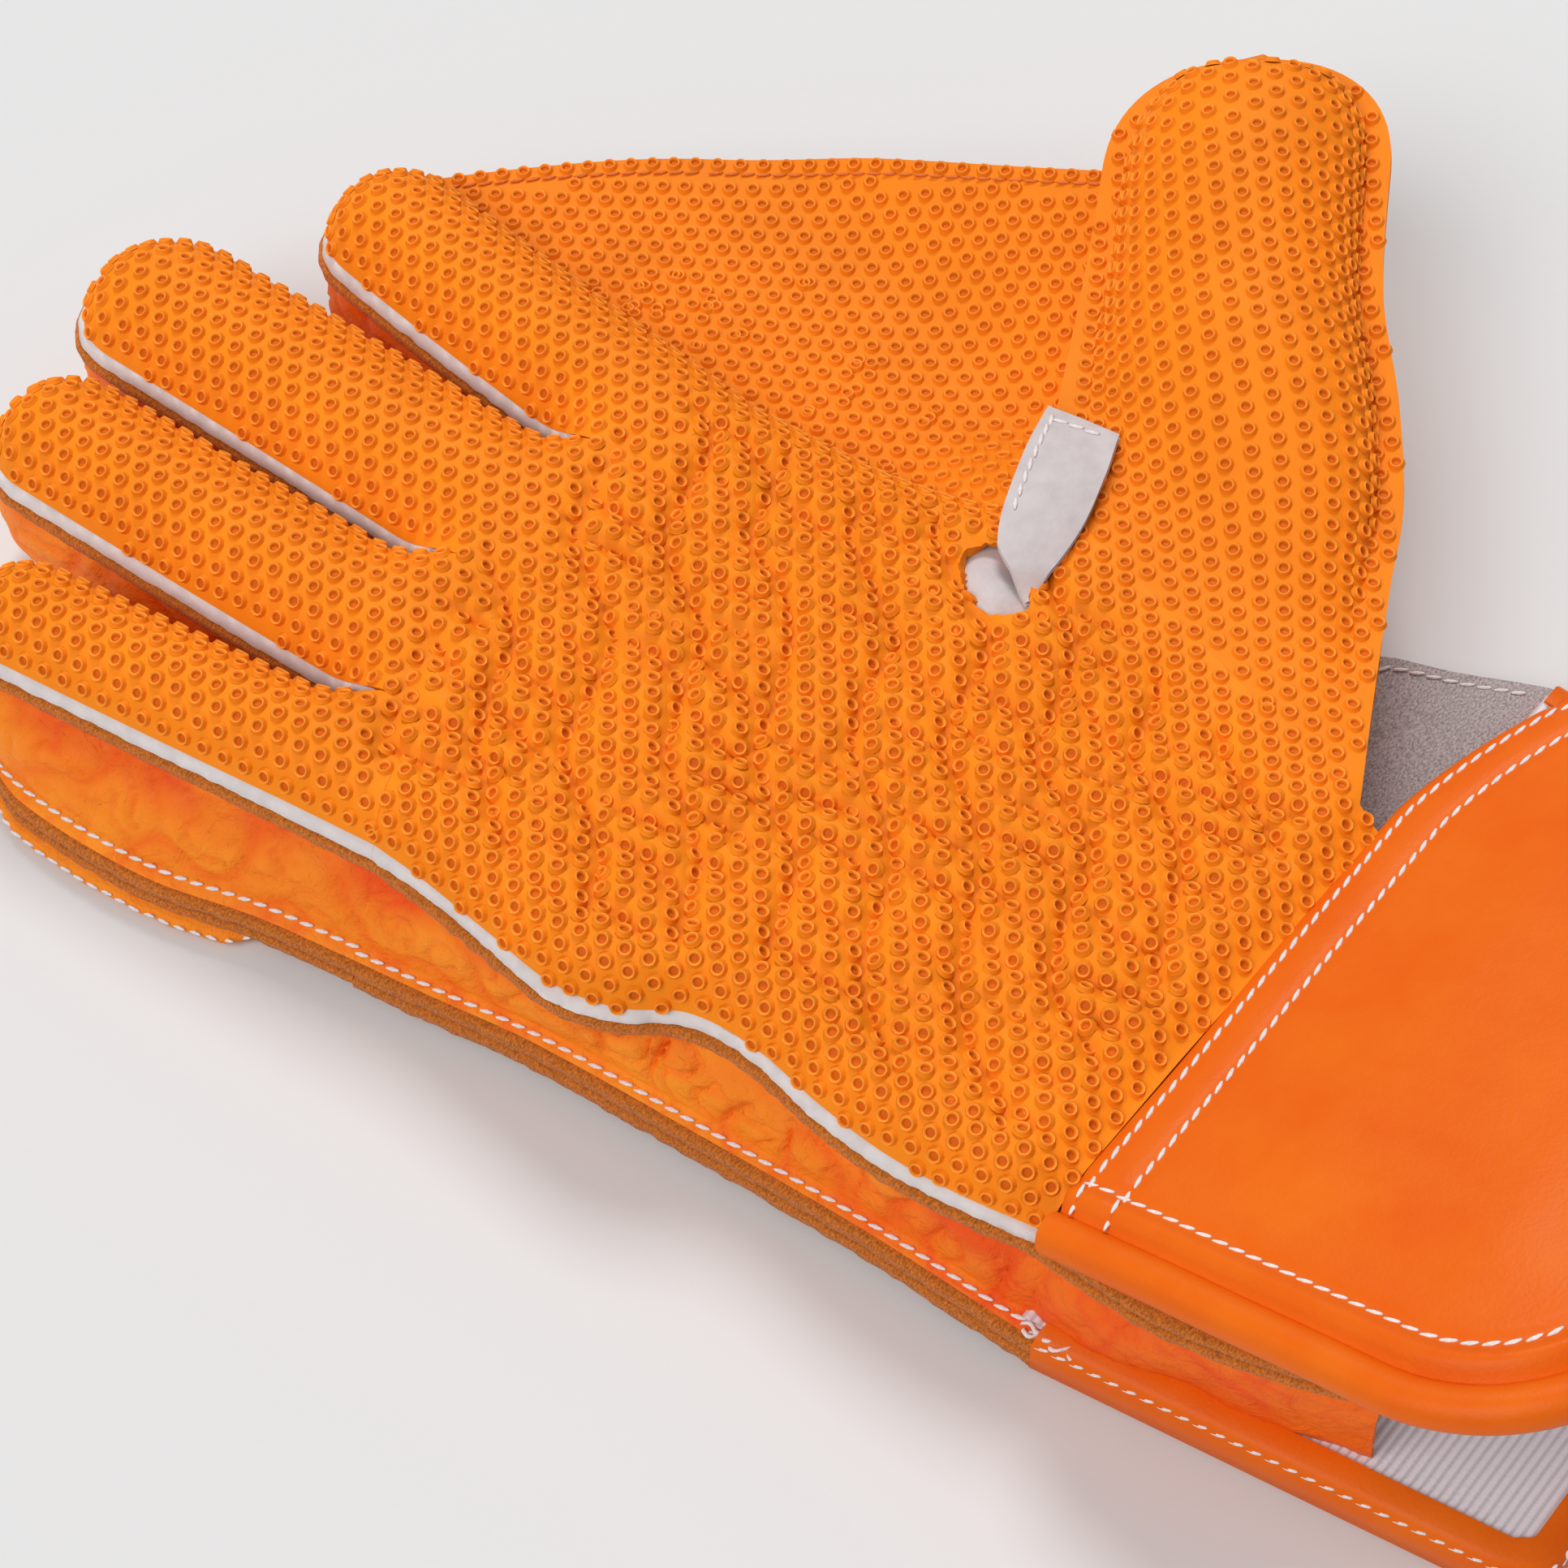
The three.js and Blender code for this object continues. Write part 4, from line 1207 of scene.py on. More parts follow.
def make_knit(name, base):
    """White knitted lining, with its loops as bump over modelled ribs and painted shade along the valleys
    between the ribs.
    """
    material, tree, shader, coords = new_nodes(name, base, 0.9)
    loops = cells_of(tree, stretched(tree, coords, (1.0, 0.7, 1.0)), 1500.0)
    ribs = tree.nodes.new("ShaderNodeTexWave")
    ribs.bands_direction = "Y"
    ribs.inputs["Scale"].default_value = 2.0 * math.pi / (WAVE_TURN * KNIT_RIB_PITCH * MM)
    ribs.inputs["Phase Offset"].default_value = math.pi / 2.0
    tree.links.new(coords, ribs.inputs["Vector"])
    # Painted shade: darker stripes along the valleys between the modelled ribs
    rib_valley_shade = tint(tree, ribs.outputs["Fac"], shade(base, 0.7), base, 0.0, 0.6)
    tree.links.new(rib_valley_shade, shader.inputs["Base Color"])
    shader.inputs["Sheen Weight"].default_value = 0.1
    roughen(tree, shader, [(loops, 0.35, 0.0002)])
    return material


def make_yarn(name, base):
    """Twisted sewing thread."""
    material, tree, shader, coords = new_nodes(name, base, 0.6)
    twist = noise_of(tree, coords, 2200.0, 2.0)
    tree.links.new(tint(tree, twist, shade(base, 0.8), base), shader.inputs["Base Color"])
    roughen(tree, shader, [(twist, 0.4, 0.0001)])
    return material


def make_tip_guard(name, base):
    """Stiff moulded plastic."""
    material, tree, shader, coords = new_nodes(name, base, 0.5)
    fine = noise_of(tree, coords, 1200.0, 2.0)
    tree.links.new(tint(tree, fine, base, shade(base, 1.6)), shader.inputs["Base Color"])
    roughen(tree, shader, [(fine, 0.2, 0.0001)])
    return material


# Each finish: what makes it, and what that takes besides a name and a colour
FINISHES = {
    "rubber": (make_rubber, {}),
    "wall_leather": (make_leather, {"roughness": 0.46, "wrinkle": 0.55, "grain": 0.3}),
    "cuff_leather": (make_leather, {"roughness": 0.40, "wrinkle": 0.07, "grain": 0.22}),
    "white_leather": (make_chrome_leather, {}),
    "tab_leather": (make_chrome_leather, {}),
    "raw_suede": (make_suede, {}),
    "pale_suede": (make_suede, {}),
    "knit": (make_knit, {}),
    "thread": (make_yarn, {}),
    "hem_thread": (make_yarn, {}),
    "tip_guard": (make_tip_guard, {}),
}


def finish(name):
    """The material of that name, made once, in the colour of that name."""
    own = f"glove_{name}"
    made = bpy.data.materials.get(own)
    if made is None:
        make, settings = FINISHES[name]
        made = make(own, tuple(getattr(colours(), name)), **settings)
    return made


# Rubber

SLOT_CENTRE = Vector((41.6, 5.4, 0.0))
SLOT_LONG = 8.2
SLOT_SHORT = 5.2
SLOT_TURN = math.radians(61.0)
SLOT_SQUARENESS = 2.6


def slot_reach(point):
    """Distance from the loop's slot in the palm: below 1 inside it."""
    away = Matrix.Rotation(-SLOT_TURN, 3, "Z") @ (Vector((point.x, point.y, 0.0)) - SLOT_CENTRE)
    power = SLOT_SQUARENESS
    return (abs(away.x / SLOT_LONG) ** power + abs(away.y / SLOT_SHORT) ** power) ** (1.0 / power)


def cut_slot(bm):
    """Opens the loop's slot and draws its cut edge into a smooth, slightly ragged line."""
    inside = [face for face in bm.faces if slot_reach(face.calc_center_median()) < 1.0]
    bmesh.ops.delete(bm, geom=inside, context="FACES")
    for vert in bm.verts:
        reach = slot_reach(vert.co)
        if vert.is_boundary and reach < 1.6:
            ragged = 1.0 + 0.07 * ripple(vert.co, 2.0)
            vert.co.xy = SLOT_CENTRE.xy + (vert.co.xy - SLOT_CENTRE.xy) * (ragged / reach)


def rubber_bmesh():
    """A bmesh with the layer that marks the rings' rims and holes."""
    bm = bmesh.new()
    bm.verts.layers.float.new(LIGHT_AND_TONE_MARKS)
    return bm


def mark_creases(bm, darker_at):
    """Marks how dark the plain rubber is painted at each vertex, as painted shade."""
    layer = bm.verts.layers.float[LIGHT_AND_TONE_MARKS]
    for vert in bm.verts:
        vert[layer] = PLAIN + darker_at(vert.co)


def groove_shade_mark(point):
    """Painted shade: how much darker the rubber is painted where it sinks into the palm's sewing."""
    return GROOVE_SHARE * (GROOVE - PLAIN) * quilt(point.x, point.y) ** 2


def ring_grid(low, high, way, gather=1.0):
    """Plan points of the rings before the rubber is bent: a staggered grid with columns along way."""
    pitch = sizes().ring_pitch / MM * gather
    side = Vector((way.y, -way.x, 0.0))
    middle = (Vector((*low, 0.0)) + Vector((*high, 0.0))) / 2.0
    reach = math.dist(low, high) / 2.0
    column_step = sizes().ring_pitch / MM * math.sqrt(3.0) / 2.0
    first_column = round((middle.dot(side) - reach) / column_step)
    first_row = round((middle.dot(way) - reach) / pitch)
    for column in range(first_column, first_column + int(2.0 * reach / column_step) + 2):
        for row in range(first_row, first_row + int(2.0 * reach / pitch) + 2):
            along = (row + (0.5 if column % 2 else 0.0)) * pitch
            point = side * (column * column_step) + way * along
            if low[0] <= point.x <= high[0] and low[1] <= point.y <= high[1]:
                yield point


def palm_ring_places():
    """Rings over the palm."""
    places = []
    for spot in ring_grid(*PALM_PLAN, QUILT_UP, SEWN_GATHER):
        over = PALM_RUBBER.over(spot.x, spot.y)
        if not RING_EDGE < over < PALM_RUBBER.width(spot.y) - RING_EDGE:
            continue
        point = PALM_RUBBER.point(over, spot.y)
        on_palm = wrist_end(point.x) + RING_WRIST_EDGE < point.y < knuckle_arc(point.x)
        if on_palm and slot_reach(point) > RING_SLOT_REACH:
            places.append(on_surface(PALM_RUBBER.point, over, spot.y, 0.5, 0.5, UP))
    return places


def finger_ring_places(stall):
    """Rings over a finger, in line with the palm's."""
    places = []
    for spot in ring_grid(*FINGER_PLAN, QUILT_UP):
        local = stall.inverse @ spot
        if abs(local.x) > FINGER_REACH or local.y < -ROOT_BACK - FINGER_BEHIND:
            continue
        across, y = stall.unrolled(local.x, local.y)
        side = side_of(across)
        if abs(across) > mix(1.0, FINGER_RING_SHARE, stall.opened(side, y)):
            continue
        if stall.rubber_root(across) <= y < stall.length - FINGER_RING_TIP:
            places.append(on_surface(stall.rubber, across, y, 0.01, 0.2, UP))
    return places


def thumb_ring_places():
    """Rings over the thumb, in line with the palm's."""
    places = []
    to_fold = FOLD.inverted()
    for spot in ring_grid(*THUMB_PLAN, QUILT_UP):
        flat = to_fold @ spot
        across, y = THUMB.unrolled(*THUMB.from_fold(flat.x, flat.y))
        if abs(across) < THUMB_RING_SHARE and THUMB.root(across) <= y < THUMB.length - THUMB_RING_TIP:
            point = THUMB.top(across, y)
            if point.y > wrist_end(point.x) + RING_WRIST_EDGE:
                places.append(on_surface(THUMB.top, across, y, 0.01, 0.2, UP))
    return places


def add_rubber(stall, columns, rows, surface, root, darker_at, ring_places):
    """Rubber over a finger or the thumb, with its rings."""

    def place(u, v):
        across = 2.0 * u - 1.0
        return surface(across, stall.along(root(across), v))

    bm = rubber_bmesh()
    sheet(bm, columns, rows, place, UP, sizes().rubber_thick / MM)
    mark_creases(bm, darker_at)
    stamp_all(bm, ring_stamp(), ring_places)
    finish_piece(
        f"{stall.name}_rubber", bm, ["rubber"], "rubber", across=stall.joined(),
        replaced=(f"{stall.name}_facing", f"{stall.name}_padding"), fill=0.8)


class GLOVE_OT_palm_rubber(bpy.types.Operator):
    """Quilted rubber over the palm"""

    bl_idname = "glove.palm_rubber"
    bl_label = "Palm rubber"

    def execute(self, context):
        bm = rubber_bmesh()
        faces = grid(bm, 126, 136, PALM_RUBBER.spread)
        face_towards(bm, faces, UP)
        cut_slot(bm)
        mark_creases(bm, groove_shade_mark)
        bmesh.ops.solidify(bm, geom=bm.faces[:], thickness=sizes().rubber_thick / MM)
        stamp_all(bm, ring_stamp(), palm_ring_places())
        finish_piece(
            "palm_rubber", bm, ["rubber"], "rubber", body="palm",
            replaced=("palm_facing", "palm_padding"), fill=0.7)
        return {"FINISHED"}


class GLOVE_OT_finger_rubber(bpy.types.Operator):
    """Crowned rubber over the four fingers"""

    bl_idname = "glove.finger_rubber"
    bl_label = "Finger rubber"

    def execute(self, context):
        for stall in FINGERS:
            rings = finger_ring_places(stall)
            add_rubber(stall, 32, 64, stall.rubber, stall.rubber_root, groove_shade_mark, rings)
        return {"FINISHED"}


class GLOVE_OT_thumb_rubber(bpy.types.Operator):
    """Rubber over the thumb: a crowned tube in a flat flange"""

    bl_idname = "glove.thumb_rubber"
    bl_label = "Thumb rubber"

    def execute(self, context):
        rings = thumb_ring_places()
        add_rubber(THUMB, 64, 70, THUMB.top, THUMB.root, lambda point: THUMB_SHADE_MARK, rings)
        return {"FINISHED"}


# Web between the index finger and the thumb

WEB_INDEX = (-12.0, 74.0)
WEB_THUMB = (16.0, 92.0)
WEB_TUCK = 3.5
WEB_TOP = RUBBER_FOOT - 0.9
WEB_CORNER = Vector((62.0, 11.0, 0.0))
WEB_CORNER_RISE = 7.5
WEB_SAG = 2.5
WEB_THICK = 2.2
WEB_HEM = 4.2
WEB_BOW = 11.0
WEB_BOW_FADE = 0.55
WEB_SPLIT = -THUMB_BEND
WEB_CROTCH = Vector((47.5, 10.0, 0.0))
WEB_CORNER_SPAN = (28.0, 3.0)
WEB_TAPER_SPAN = (10.0, -40.0)
WEB_SIDE_SHARE = 0.03
WEB_HEM_CLEAR = 1.6
WEB_HEM_MIDDLE = 0.45
WEB_HEM_ENDS = (0.02, 0.98)
WEB_HEM_LIFT = 0.3
WEB_BACKING_GAP = 0.4
WEB_BACKING_THICK = 1.5
WEB_BEND = 16.0
WEB_SPLIT_REACH = 188.0


def web_index_edge(share):
    """Edge of the web under the index finger, from its root to its tip."""
    y = mix(*WEB_INDEX, share)
    point = INDEX.place(INDEX.half_at(y) - WEB_TUCK * ease(1.0, 0.9, share), y, 0.0)
    return Vector((point.x, point.y, 0.0))


def web_thumb_edge(share):
    """Edge of the web under the thumb's flange."""
    y = mix(*WEB_THUMB, share)
    x, along = THUMB.fold_point(-THUMB.half_at(y) + WEB_TUCK * ease(1.0, 0.9, share), y)
    return FOLD @ Vector((x, along, 0.0))


def web_flat(u, v):
    """Point of the web laid flat: u from index finger to thumb, v from the crotch to the free edge."""

    def crotch_edge(share):
        start, end = web_index_edge(0.0), web_thumb_edge(0.0)
        inverse = 1.0 - share
        return start * inverse ** 2 + WEB_CROTCH * (2.0 * share * inverse) + end * share ** 2

    def free_edge(share):
        bow = QUILT_UP * WEB_BOW * math.sin(math.pi * share) * (1.0 - WEB_BOW_FADE * share)
        return web_index_edge(1.0).lerp(web_thumb_edge(1.0), share) + bow

    sides = web_index_edge(v).lerp(web_thumb_edge(v), u)
    ends = crotch_edge(u).lerp(free_edge(u), v)
    low = web_index_edge(0.0).lerp(web_thumb_edge(0.0), u)
    high = web_index_edge(1.0).lerp(web_thumb_edge(1.0), u)
    point = sides + ends - low.lerp(high, v)
    near_corner = ease(*WEB_CORNER_SPAN, math.dist(point.xy, WEB_CORNER.xy))
    sag = WEB_SAG * math.sin(math.pi * min(max(u, 0.0), 1.0)) * math.sin(math.pi * min(max(v, 0.0), 1.0))
    point.z = WEB_TOP + WEB_CORNER_RISE * near_corner - sag
    return point


def web_shares(spot):
    """Shares (u, v) of the web at a plan point, found by stepping towards it."""
    u, v = 0.5, 0.5
    step = 0.002
    for _ in range(8):
        here = web_flat(u, v)
        by_u = (web_flat(u + step, v) - here) / step
        by_v = (web_flat(u, v + step) - here) / step
        miss = spot - here
        area = by_u.x * by_v.y - by_u.y * by_v.x
        u = min(max(u + (miss.x * by_v.y - miss.y * by_v.x) / area, -0.1), 1.1)
        v = min(max(v + (by_u.x * miss.y - by_u.y * miss.x) / area, -0.1), 1.1)
    return u, v


def fold_side(point):
    """Distance of a flat point from the thumb's fold line."""
    return (FOLD.inverted() @ point).x


def raise_web(point):
    """A flat point of the web, raised with the thumb and following the index finger's taper."""
    along = min(max((INDEX.inverse @ point).y, 0.0) / INDEX.length, 1.0)
    raised = raise_flat(point)
    raised.z -= TIP_THINNING * along * ease(*WEB_TAPER_SPAN, fold_side(point)) * point.z
    return raised


def web_surface(u, v):
    """Point of the web as worn."""
    return raise_web(web_flat(u, v))


def web_inset(distance):
    """Share v at a distance inside the web's free edge."""
    return 1.0 - distance / (web_flat(0.5, 1.0) - web_flat(0.5, 0.0)).length


def on_half(u, v, keep_index):
    """Whether a point of the web lies on the index finger's half, or else on the thumb's."""
    return (fold_side(web_flat(u, v)) < WEB_SPLIT) == keep_index


def web_ring_places(keep_index):
    """Rings of one half of the web, in rows along its free edge."""
    row_way = (web_thumb_edge(1.0) - web_index_edge(1.0)).normalized()
    low, high = WEB_SIDE_SHARE, 1.0 - WEB_SIDE_SHARE
    last = web_inset(WEB_HEM + WEB_HEM_CLEAR)
    spots = [web_shares(spot) for spot in ring_grid(*WEB_PLAN, row_way)]
    inside = [(u, v) for u, v in spots if low < u < high and 0.0 < v < last]
    hem_rings = round((web_flat(1.0, 1.0) - web_flat(0.0, 1.0)).length / (sizes().ring_pitch / MM))
    on_hem = web_inset(WEB_HEM * WEB_HEM_MIDDLE)
    inside += [((step + 0.5) / hem_rings, on_hem) for step in range(hem_rings)]
    kept = [(u, v) for u, v in inside if on_half(u, v, keep_index)]
    return [on_surface(web_surface, u, v, 0.005, 0.005, UP) for u, v in kept]


def make_web(backing, keep_index, across):
    """One half of the web: its rubber face with rings and hem, or its leather backing."""
    kind = "leather" if backing else "rubber"
    name = f"web_{kind}_index" if keep_index else f"web_{kind}_thumb"
    bm = rubber_bmesh()
    drop = WEB_THICK + WEB_BACKING_GAP if backing else 0.0
    grid(bm, 48, 44, web_flat)
    origin = FOLD @ Vector((WEB_SPLIT, 0.0, 0.0))
    normal = FOLD.to_3x3() @ Vector((1.0, 0.0, 0.0))
    bmesh.ops.bisect_plane(
        bm, geom=bm.verts[:] + bm.edges[:] + bm.faces[:], plane_co=origin, plane_no=normal,
        clear_outer=keep_index, clear_inner=not keep_index)
    for vert in bm.verts:
        vert.co = raise_web(vert.co - UP * drop)
    faces = bm.faces[:]
    face_towards(bm, faces, UP)
    bmesh.ops.solidify(bm, geom=faces, thickness=WEB_BACKING_THICK if backing else WEB_THICK)
    mark_creases(bm, lambda point: WEB_SHADE_MARK)
    replaced = "inner" if keep_index else "outer"
    if backing:
        return finish_piece(
            name, bm, ["wall_leather"], "leather", across=across, replaced=(f"web_backing_{replaced}",))

    stamp_all(bm, ring_stamp(), web_ring_places(keep_index))
    hem = web_inset(WEB_HEM)
    row = [mix(*WEB_HEM_ENDS, share) for share in shares(120)]
    path = [web_surface(u, hem) for u in row if on_half(u, hem, keep_index)]
    stitches(bm, path, UP, 1, lift=WEB_HEM_LIFT)
    return finish_piece(
        name, bm, ["rubber", "hem_thread"], "rubber", across=across, replaced=(f"web_face_{replaced}",))


class GLOVE_OT_web(bpy.types.Operator):
    """Rubber web between the index finger and the thumb, with its backing"""

    bl_idname = "glove.web"
    bl_label = "Web"

    def execute(self, context):
        top_split = FOLD @ Vector((WEB_SPLIT, WEB_SPLIT_REACH, 0.0))
        root_split = INDEX.place(INDEX.half, 0.0, 0.0)
        line = (top_split - root_split).normalized()
        towards = Vector((-line.y, line.x, 0.0))
        start = Vector((root_split.x, root_split.y, 0.0))
        index_bend = ("palm", "index_finger", start * MM, (start + towards * WEB_BEND) * MM)
        for backing in (False, True):
            make_web(backing, True, index_bend)
            make_web(backing, False, THUMB.joined())
        return {"FINISHED"}


# Edge stack, walls and backs

LITTLE_FOOT_END = -0.14
LITTLE_FOOT_FADE = 0.22
SLIT_WALL_SPAN = 13.0
WELT_TUCK = 2.4
THUMB_WELT_TUCK = 3.4
SLIT_WELT_TUCK = 3.6
WELT_INNER = -4.0
WELT_RAGGED = 0.3
WALL_BULGE = 1.6
WALL_FLANGE = 3.4
WALL_FLANGE_FROM = 0.84
FOOT_SPREAD = 0.4
WRINKLE_DEPTH = 1.9
OUTER_WRIST_LAP = 4.6
FOOT_INNER = -3.0
FOOT_STEP = 0.4
FOOT_RAGGED = 0.35
FOOT_RAGGED_SIZE = 2.2
LITTLE_FOOT_LAYERS = ((3.1, 5.4), (5.7, 8.2))
OUTER_FOOT_LAYERS = ((2.0, 4.9), (5.2, 8.2))
FOOT_STITCH_WAY = Vector((-0.6, 0.0, 0.8))
SEWN_SPAN = (0.3, 2.9)
SEWN_INNER = -4.0
SEWN_OUT = 1.4
SEWN_STITCH_WAY = Vector((-0.95, 0.0, 0.3))


def slit_open(stall, share):
    """0 at the end of a slit, 1 where the stall stands by itself."""
    side = side_of(share)
    if isinstance(stall, Finger) and stall.borders[side] is not None:
        slit = stall.slits[side]
        return ease(slit, slit + SLIT_WALL_SPAN, stall.outline(share)[1])
    return 1.0


def welt_retreat(stall, share):
    """How far the edge stack lies back: all round the thumb, and on the fingers' sides towards it."""
    if stall is THUMB:
        return mix(THUMB_WELT_TUCK, WELT_TUCK, ease(-0.05, 0.25, share))
    return WELT_TUCK * ease(0.05, 0.25, share) + SLIT_WELT_TUCK * (1.0 - slit_open(stall, share))


def flat_strip(low, high, inner, outer):
    """Section of a strip turned outwards below the rubber, as (out, height)."""
    return [(inner, high), (0.1, high), (outer, low + 0.5), (outer - 0.3, low), (inner, low)]


def facet(faces):
    """Shows a torn edge's small flats."""
    for face in faces:
        face.smooth = False


def add_welt(bm, stall):
    """White strip and raw suede edge round a finger or the thumb."""

    def layer(u, out, height, size, seed, lifted):
        share = 2.0 * u - 1.0
        height += stall.foot_shift
        retreat = welt_retreat(stall, share)
        ragged = WELT_RAGGED * ripple(stall.rim(share, 0.0, height), size, seed) - retreat
        return stall.rim(share, out + ragged, height - retreat, lifted)

    def white(u, out, height):
        return layer(u, out, height, 2.6, 0.0, 1.0)

    def suede(u, out, height):
        return layer(u, out, height, 1.8, 7.0, 0.95)

    facet(band(bm, 220, flat_strip(*WHITE_BAND, WELT_INNER, WHITE_OUT), white, 0))
    facet(band(bm, 220, slab(*SUEDE_BAND, WELT_INNER, SUEDE_OUT), suede, 1))


little_flare = through([
    (-1.0, ROOT_FLARE), (-0.82, 7.5), (-0.61, 10.5), (-0.34, 8.5), (LITTLE_FOOT_END, 1.6),
    (0.0, FOOT_SPREAD), (1.0, FOOT_SPREAD)])


def little_foot_fade(share):
    """1 along the little finger's outer foot, 0 past its end."""
    return ease(LITTLE_FOOT_END, LITTLE_FOOT_END - LITTLE_FOOT_FADE, share)


def foot_spread(stall, share):
    """How far the foot of a stall's wall stands out of the rubber's edge."""
    return little_flare(share) if stall is LITTLE else FOOT_SPREAD


wall_out = through([(0.0, 0.0), (0.35, 0.6), (0.7, 0.93), (0.86, 1.0), (1.0, 1.0)])
wall_down = through([(0.0, 0.0), (0.35, 0.36), (0.7, 0.79), (0.86, 0.93), (1.0, 1.0)])


def wall_section(v, spread, flange):
    """A wall's section as (out, height): v from its top down, flange for the sewn foot."""
    out = mix(-WALL_INSET, spread, wall_out(v)) + WALL_BULGE * math.sin(math.pi * v)
    out += flange * ease(WALL_FLANGE_FROM, 1.0, v)
    return out, mix(WALL_TOP, ROLL_TOP, wall_down(v))


def creases(point):
    """How deep a point of the leather lies in a wrinkle: 1 on its line."""
    wide = (1.0 - abs(ripple(point, 14.0, 9.0))) ** 7
    fine = (1.0 - abs(ripple(point, 6.0, 11.0))) ** 7
    return max(wide, 0.7 * fine) * ease(-0.7, 0.0, ripple(point, 24.0, 2.0))


def crumple(point, v, waist):
    """How far the leather's wrinkles stand out."""
    folds = 0.7 * ripple(point, 13.0) + 0.4 * ripple(point, 4.5, 3.0) - WRINKLE_DEPTH * creases(point)
    return folds * waist * math.sin(math.pi * min(v / WALL_FLANGE_FROM, 1.0))


def mark_wrinkles(bm):
    """Marks how red each vertex of a wall is: painted shade in its wrinkles and below its top edge, and
    redder towards the wrist.
    """
    layer = bm.verts.layers.float.new(LIGHT_AND_TONE_MARKS)
    for vert in bm.verts:
        below = ease(11.0, 2.0, abs(WALL_TOP - vert.co.z)) * ease(-0.5, 0.5, ripple(vert.co, 16.0))
        near_wrist = 0.6 * ease(WRIST_Y + 34.0, WRIST_Y, vert.co.y) * ease(0.0, -30.0, vert.co.x)
        vert[layer] = min(0.7 * creases(vert.co) + 0.8 * below + near_wrist, 1.0)


def wall_place(stall):
    """Places a point of a stall's wall: u round the stall, v from the top down."""

    def place(u, v):
        share = 2.0 * u - 1.0
        flange = WALL_FLANGE * little_foot_fade(share) if stall is LITTLE else 0.0
        out, height = wall_section(v, foot_spread(stall, share), flange)
        if isinstance(stall, Finger):
            out = mix(-0.6, out, slit_open(stall, share))
        if stall is THUMB:
            out -= 1.6 * ease(0.0, 0.25, share)
            height -= ROLL_TOP * (1.0 - THUMB.opened(*THUMB.outline(share))) * ease(0.4, 1.0, v)
        height += stall.foot_shift * (1.0 - v)
        point = stall.rim(share, out, height, 1.0 - v)
        return stall.rim(share, out + crumple(point, v, 1.0), height, 1.0 - v)

    return place


def double_edge(bm, steps, layers, inner, outer, step, place):
    """Two raw strips along a wall, one above the other, the upper one stepped back."""
    for row, (low, high) in enumerate(layers):
        band(bm, steps, slab(low, high, inner, outer - row * step, 0.5), place, 1)


def foot_ragged(point):
    """How far a raw strip's cut edge wanders."""
    return FOOT_RAGGED * ripple(point, FOOT_RAGGED_SIZE)


def outer_side(y, out, height):
    """Point beside the palm's left edge, out of it towards the little finger's own side near the root."""
    little_way = -LITTLE.matrix.col[0].to_3d()
    way = Vector((-1.0, 0.0, 0.0)).lerp(little_way, ease(20.0, ROOTS[0].y, y)).normalized()
    return Vector((rubber_left(y), y, height)) + way * out


def outer_y(u):
    """Place along the palm's outer wall, from the wrist to the little finger's root."""
    return mix(WRIST_Y - OUTER_WRIST_LAP, ROOTS[0].y, u)


class GLOVE_OT_welts(bpy.types.Operator):
    """White and suede edges under the rubber"""

    bl_idname = "glove.welts"
    bl_label = "Welts"

    def execute(self, context):
        for stall in FINGERS + [THUMB]:
            bm = bmesh.new()
            add_welt(bm, stall)
            finish_piece(
                f"{stall.name}_welt", bm, ["white_leather", "raw_suede"], "white_leather",
                across=stall.joined(), replaced=(f"{stall.name}_lining",))

        def white(u, out, height):
            y = outer_y(u)
            ragged = 0.3 * ripple((y, height, 0.0), 2.4) + 0.15 * ripple((y, height, 0.0), 0.9)
            wide = 1.0 + 0.5 * ripple((y, 0.0, 0.0), 26.0)
            return outer_side(y, out * wide + ragged, height - 1.2 * ease(12.0, 0.0, y - WRIST_Y))

        def suede(u, out, height):
            y = outer_y(u)
            return outer_side(y, out + 0.4 * ripple((y, height, 3.0), 2.2), height)

        bm = bmesh.new()
        facet(band(bm, 220, flat_strip(*WHITE_BAND, -6.0, WHITE_OUT), white, 0))
        facet(band(bm, 220, slab(*SUEDE_BAND, -2.5, SUEDE_OUT), suede, 1))
        finish_piece(
            "palm_welt", bm, ["white_leather", "raw_suede"], "white_leather", body="palm",
            replaced=("palm_lining",))
        return {"FINISHED"}


def outer_wall(u, v):
    """Point of the palm's outer wall: u from the wrist to the little finger, v from the top down."""
    y = outer_y(u)
    out, height = wall_section(v, rubber_left(y) - foot_left(y), WALL_FLANGE)
    waist = 1.0 + 1.1 * swell(-20.0, 34.0, y)
    out -= 1.3 * ease(WRIST_Y + 4.0, WRIST_Y - OUTER_WRIST_LAP, y) * ease(1.0, 0.8, v)
    return outer_side(y, out + crumple(outer_side(y, out, height), v, waist), height)


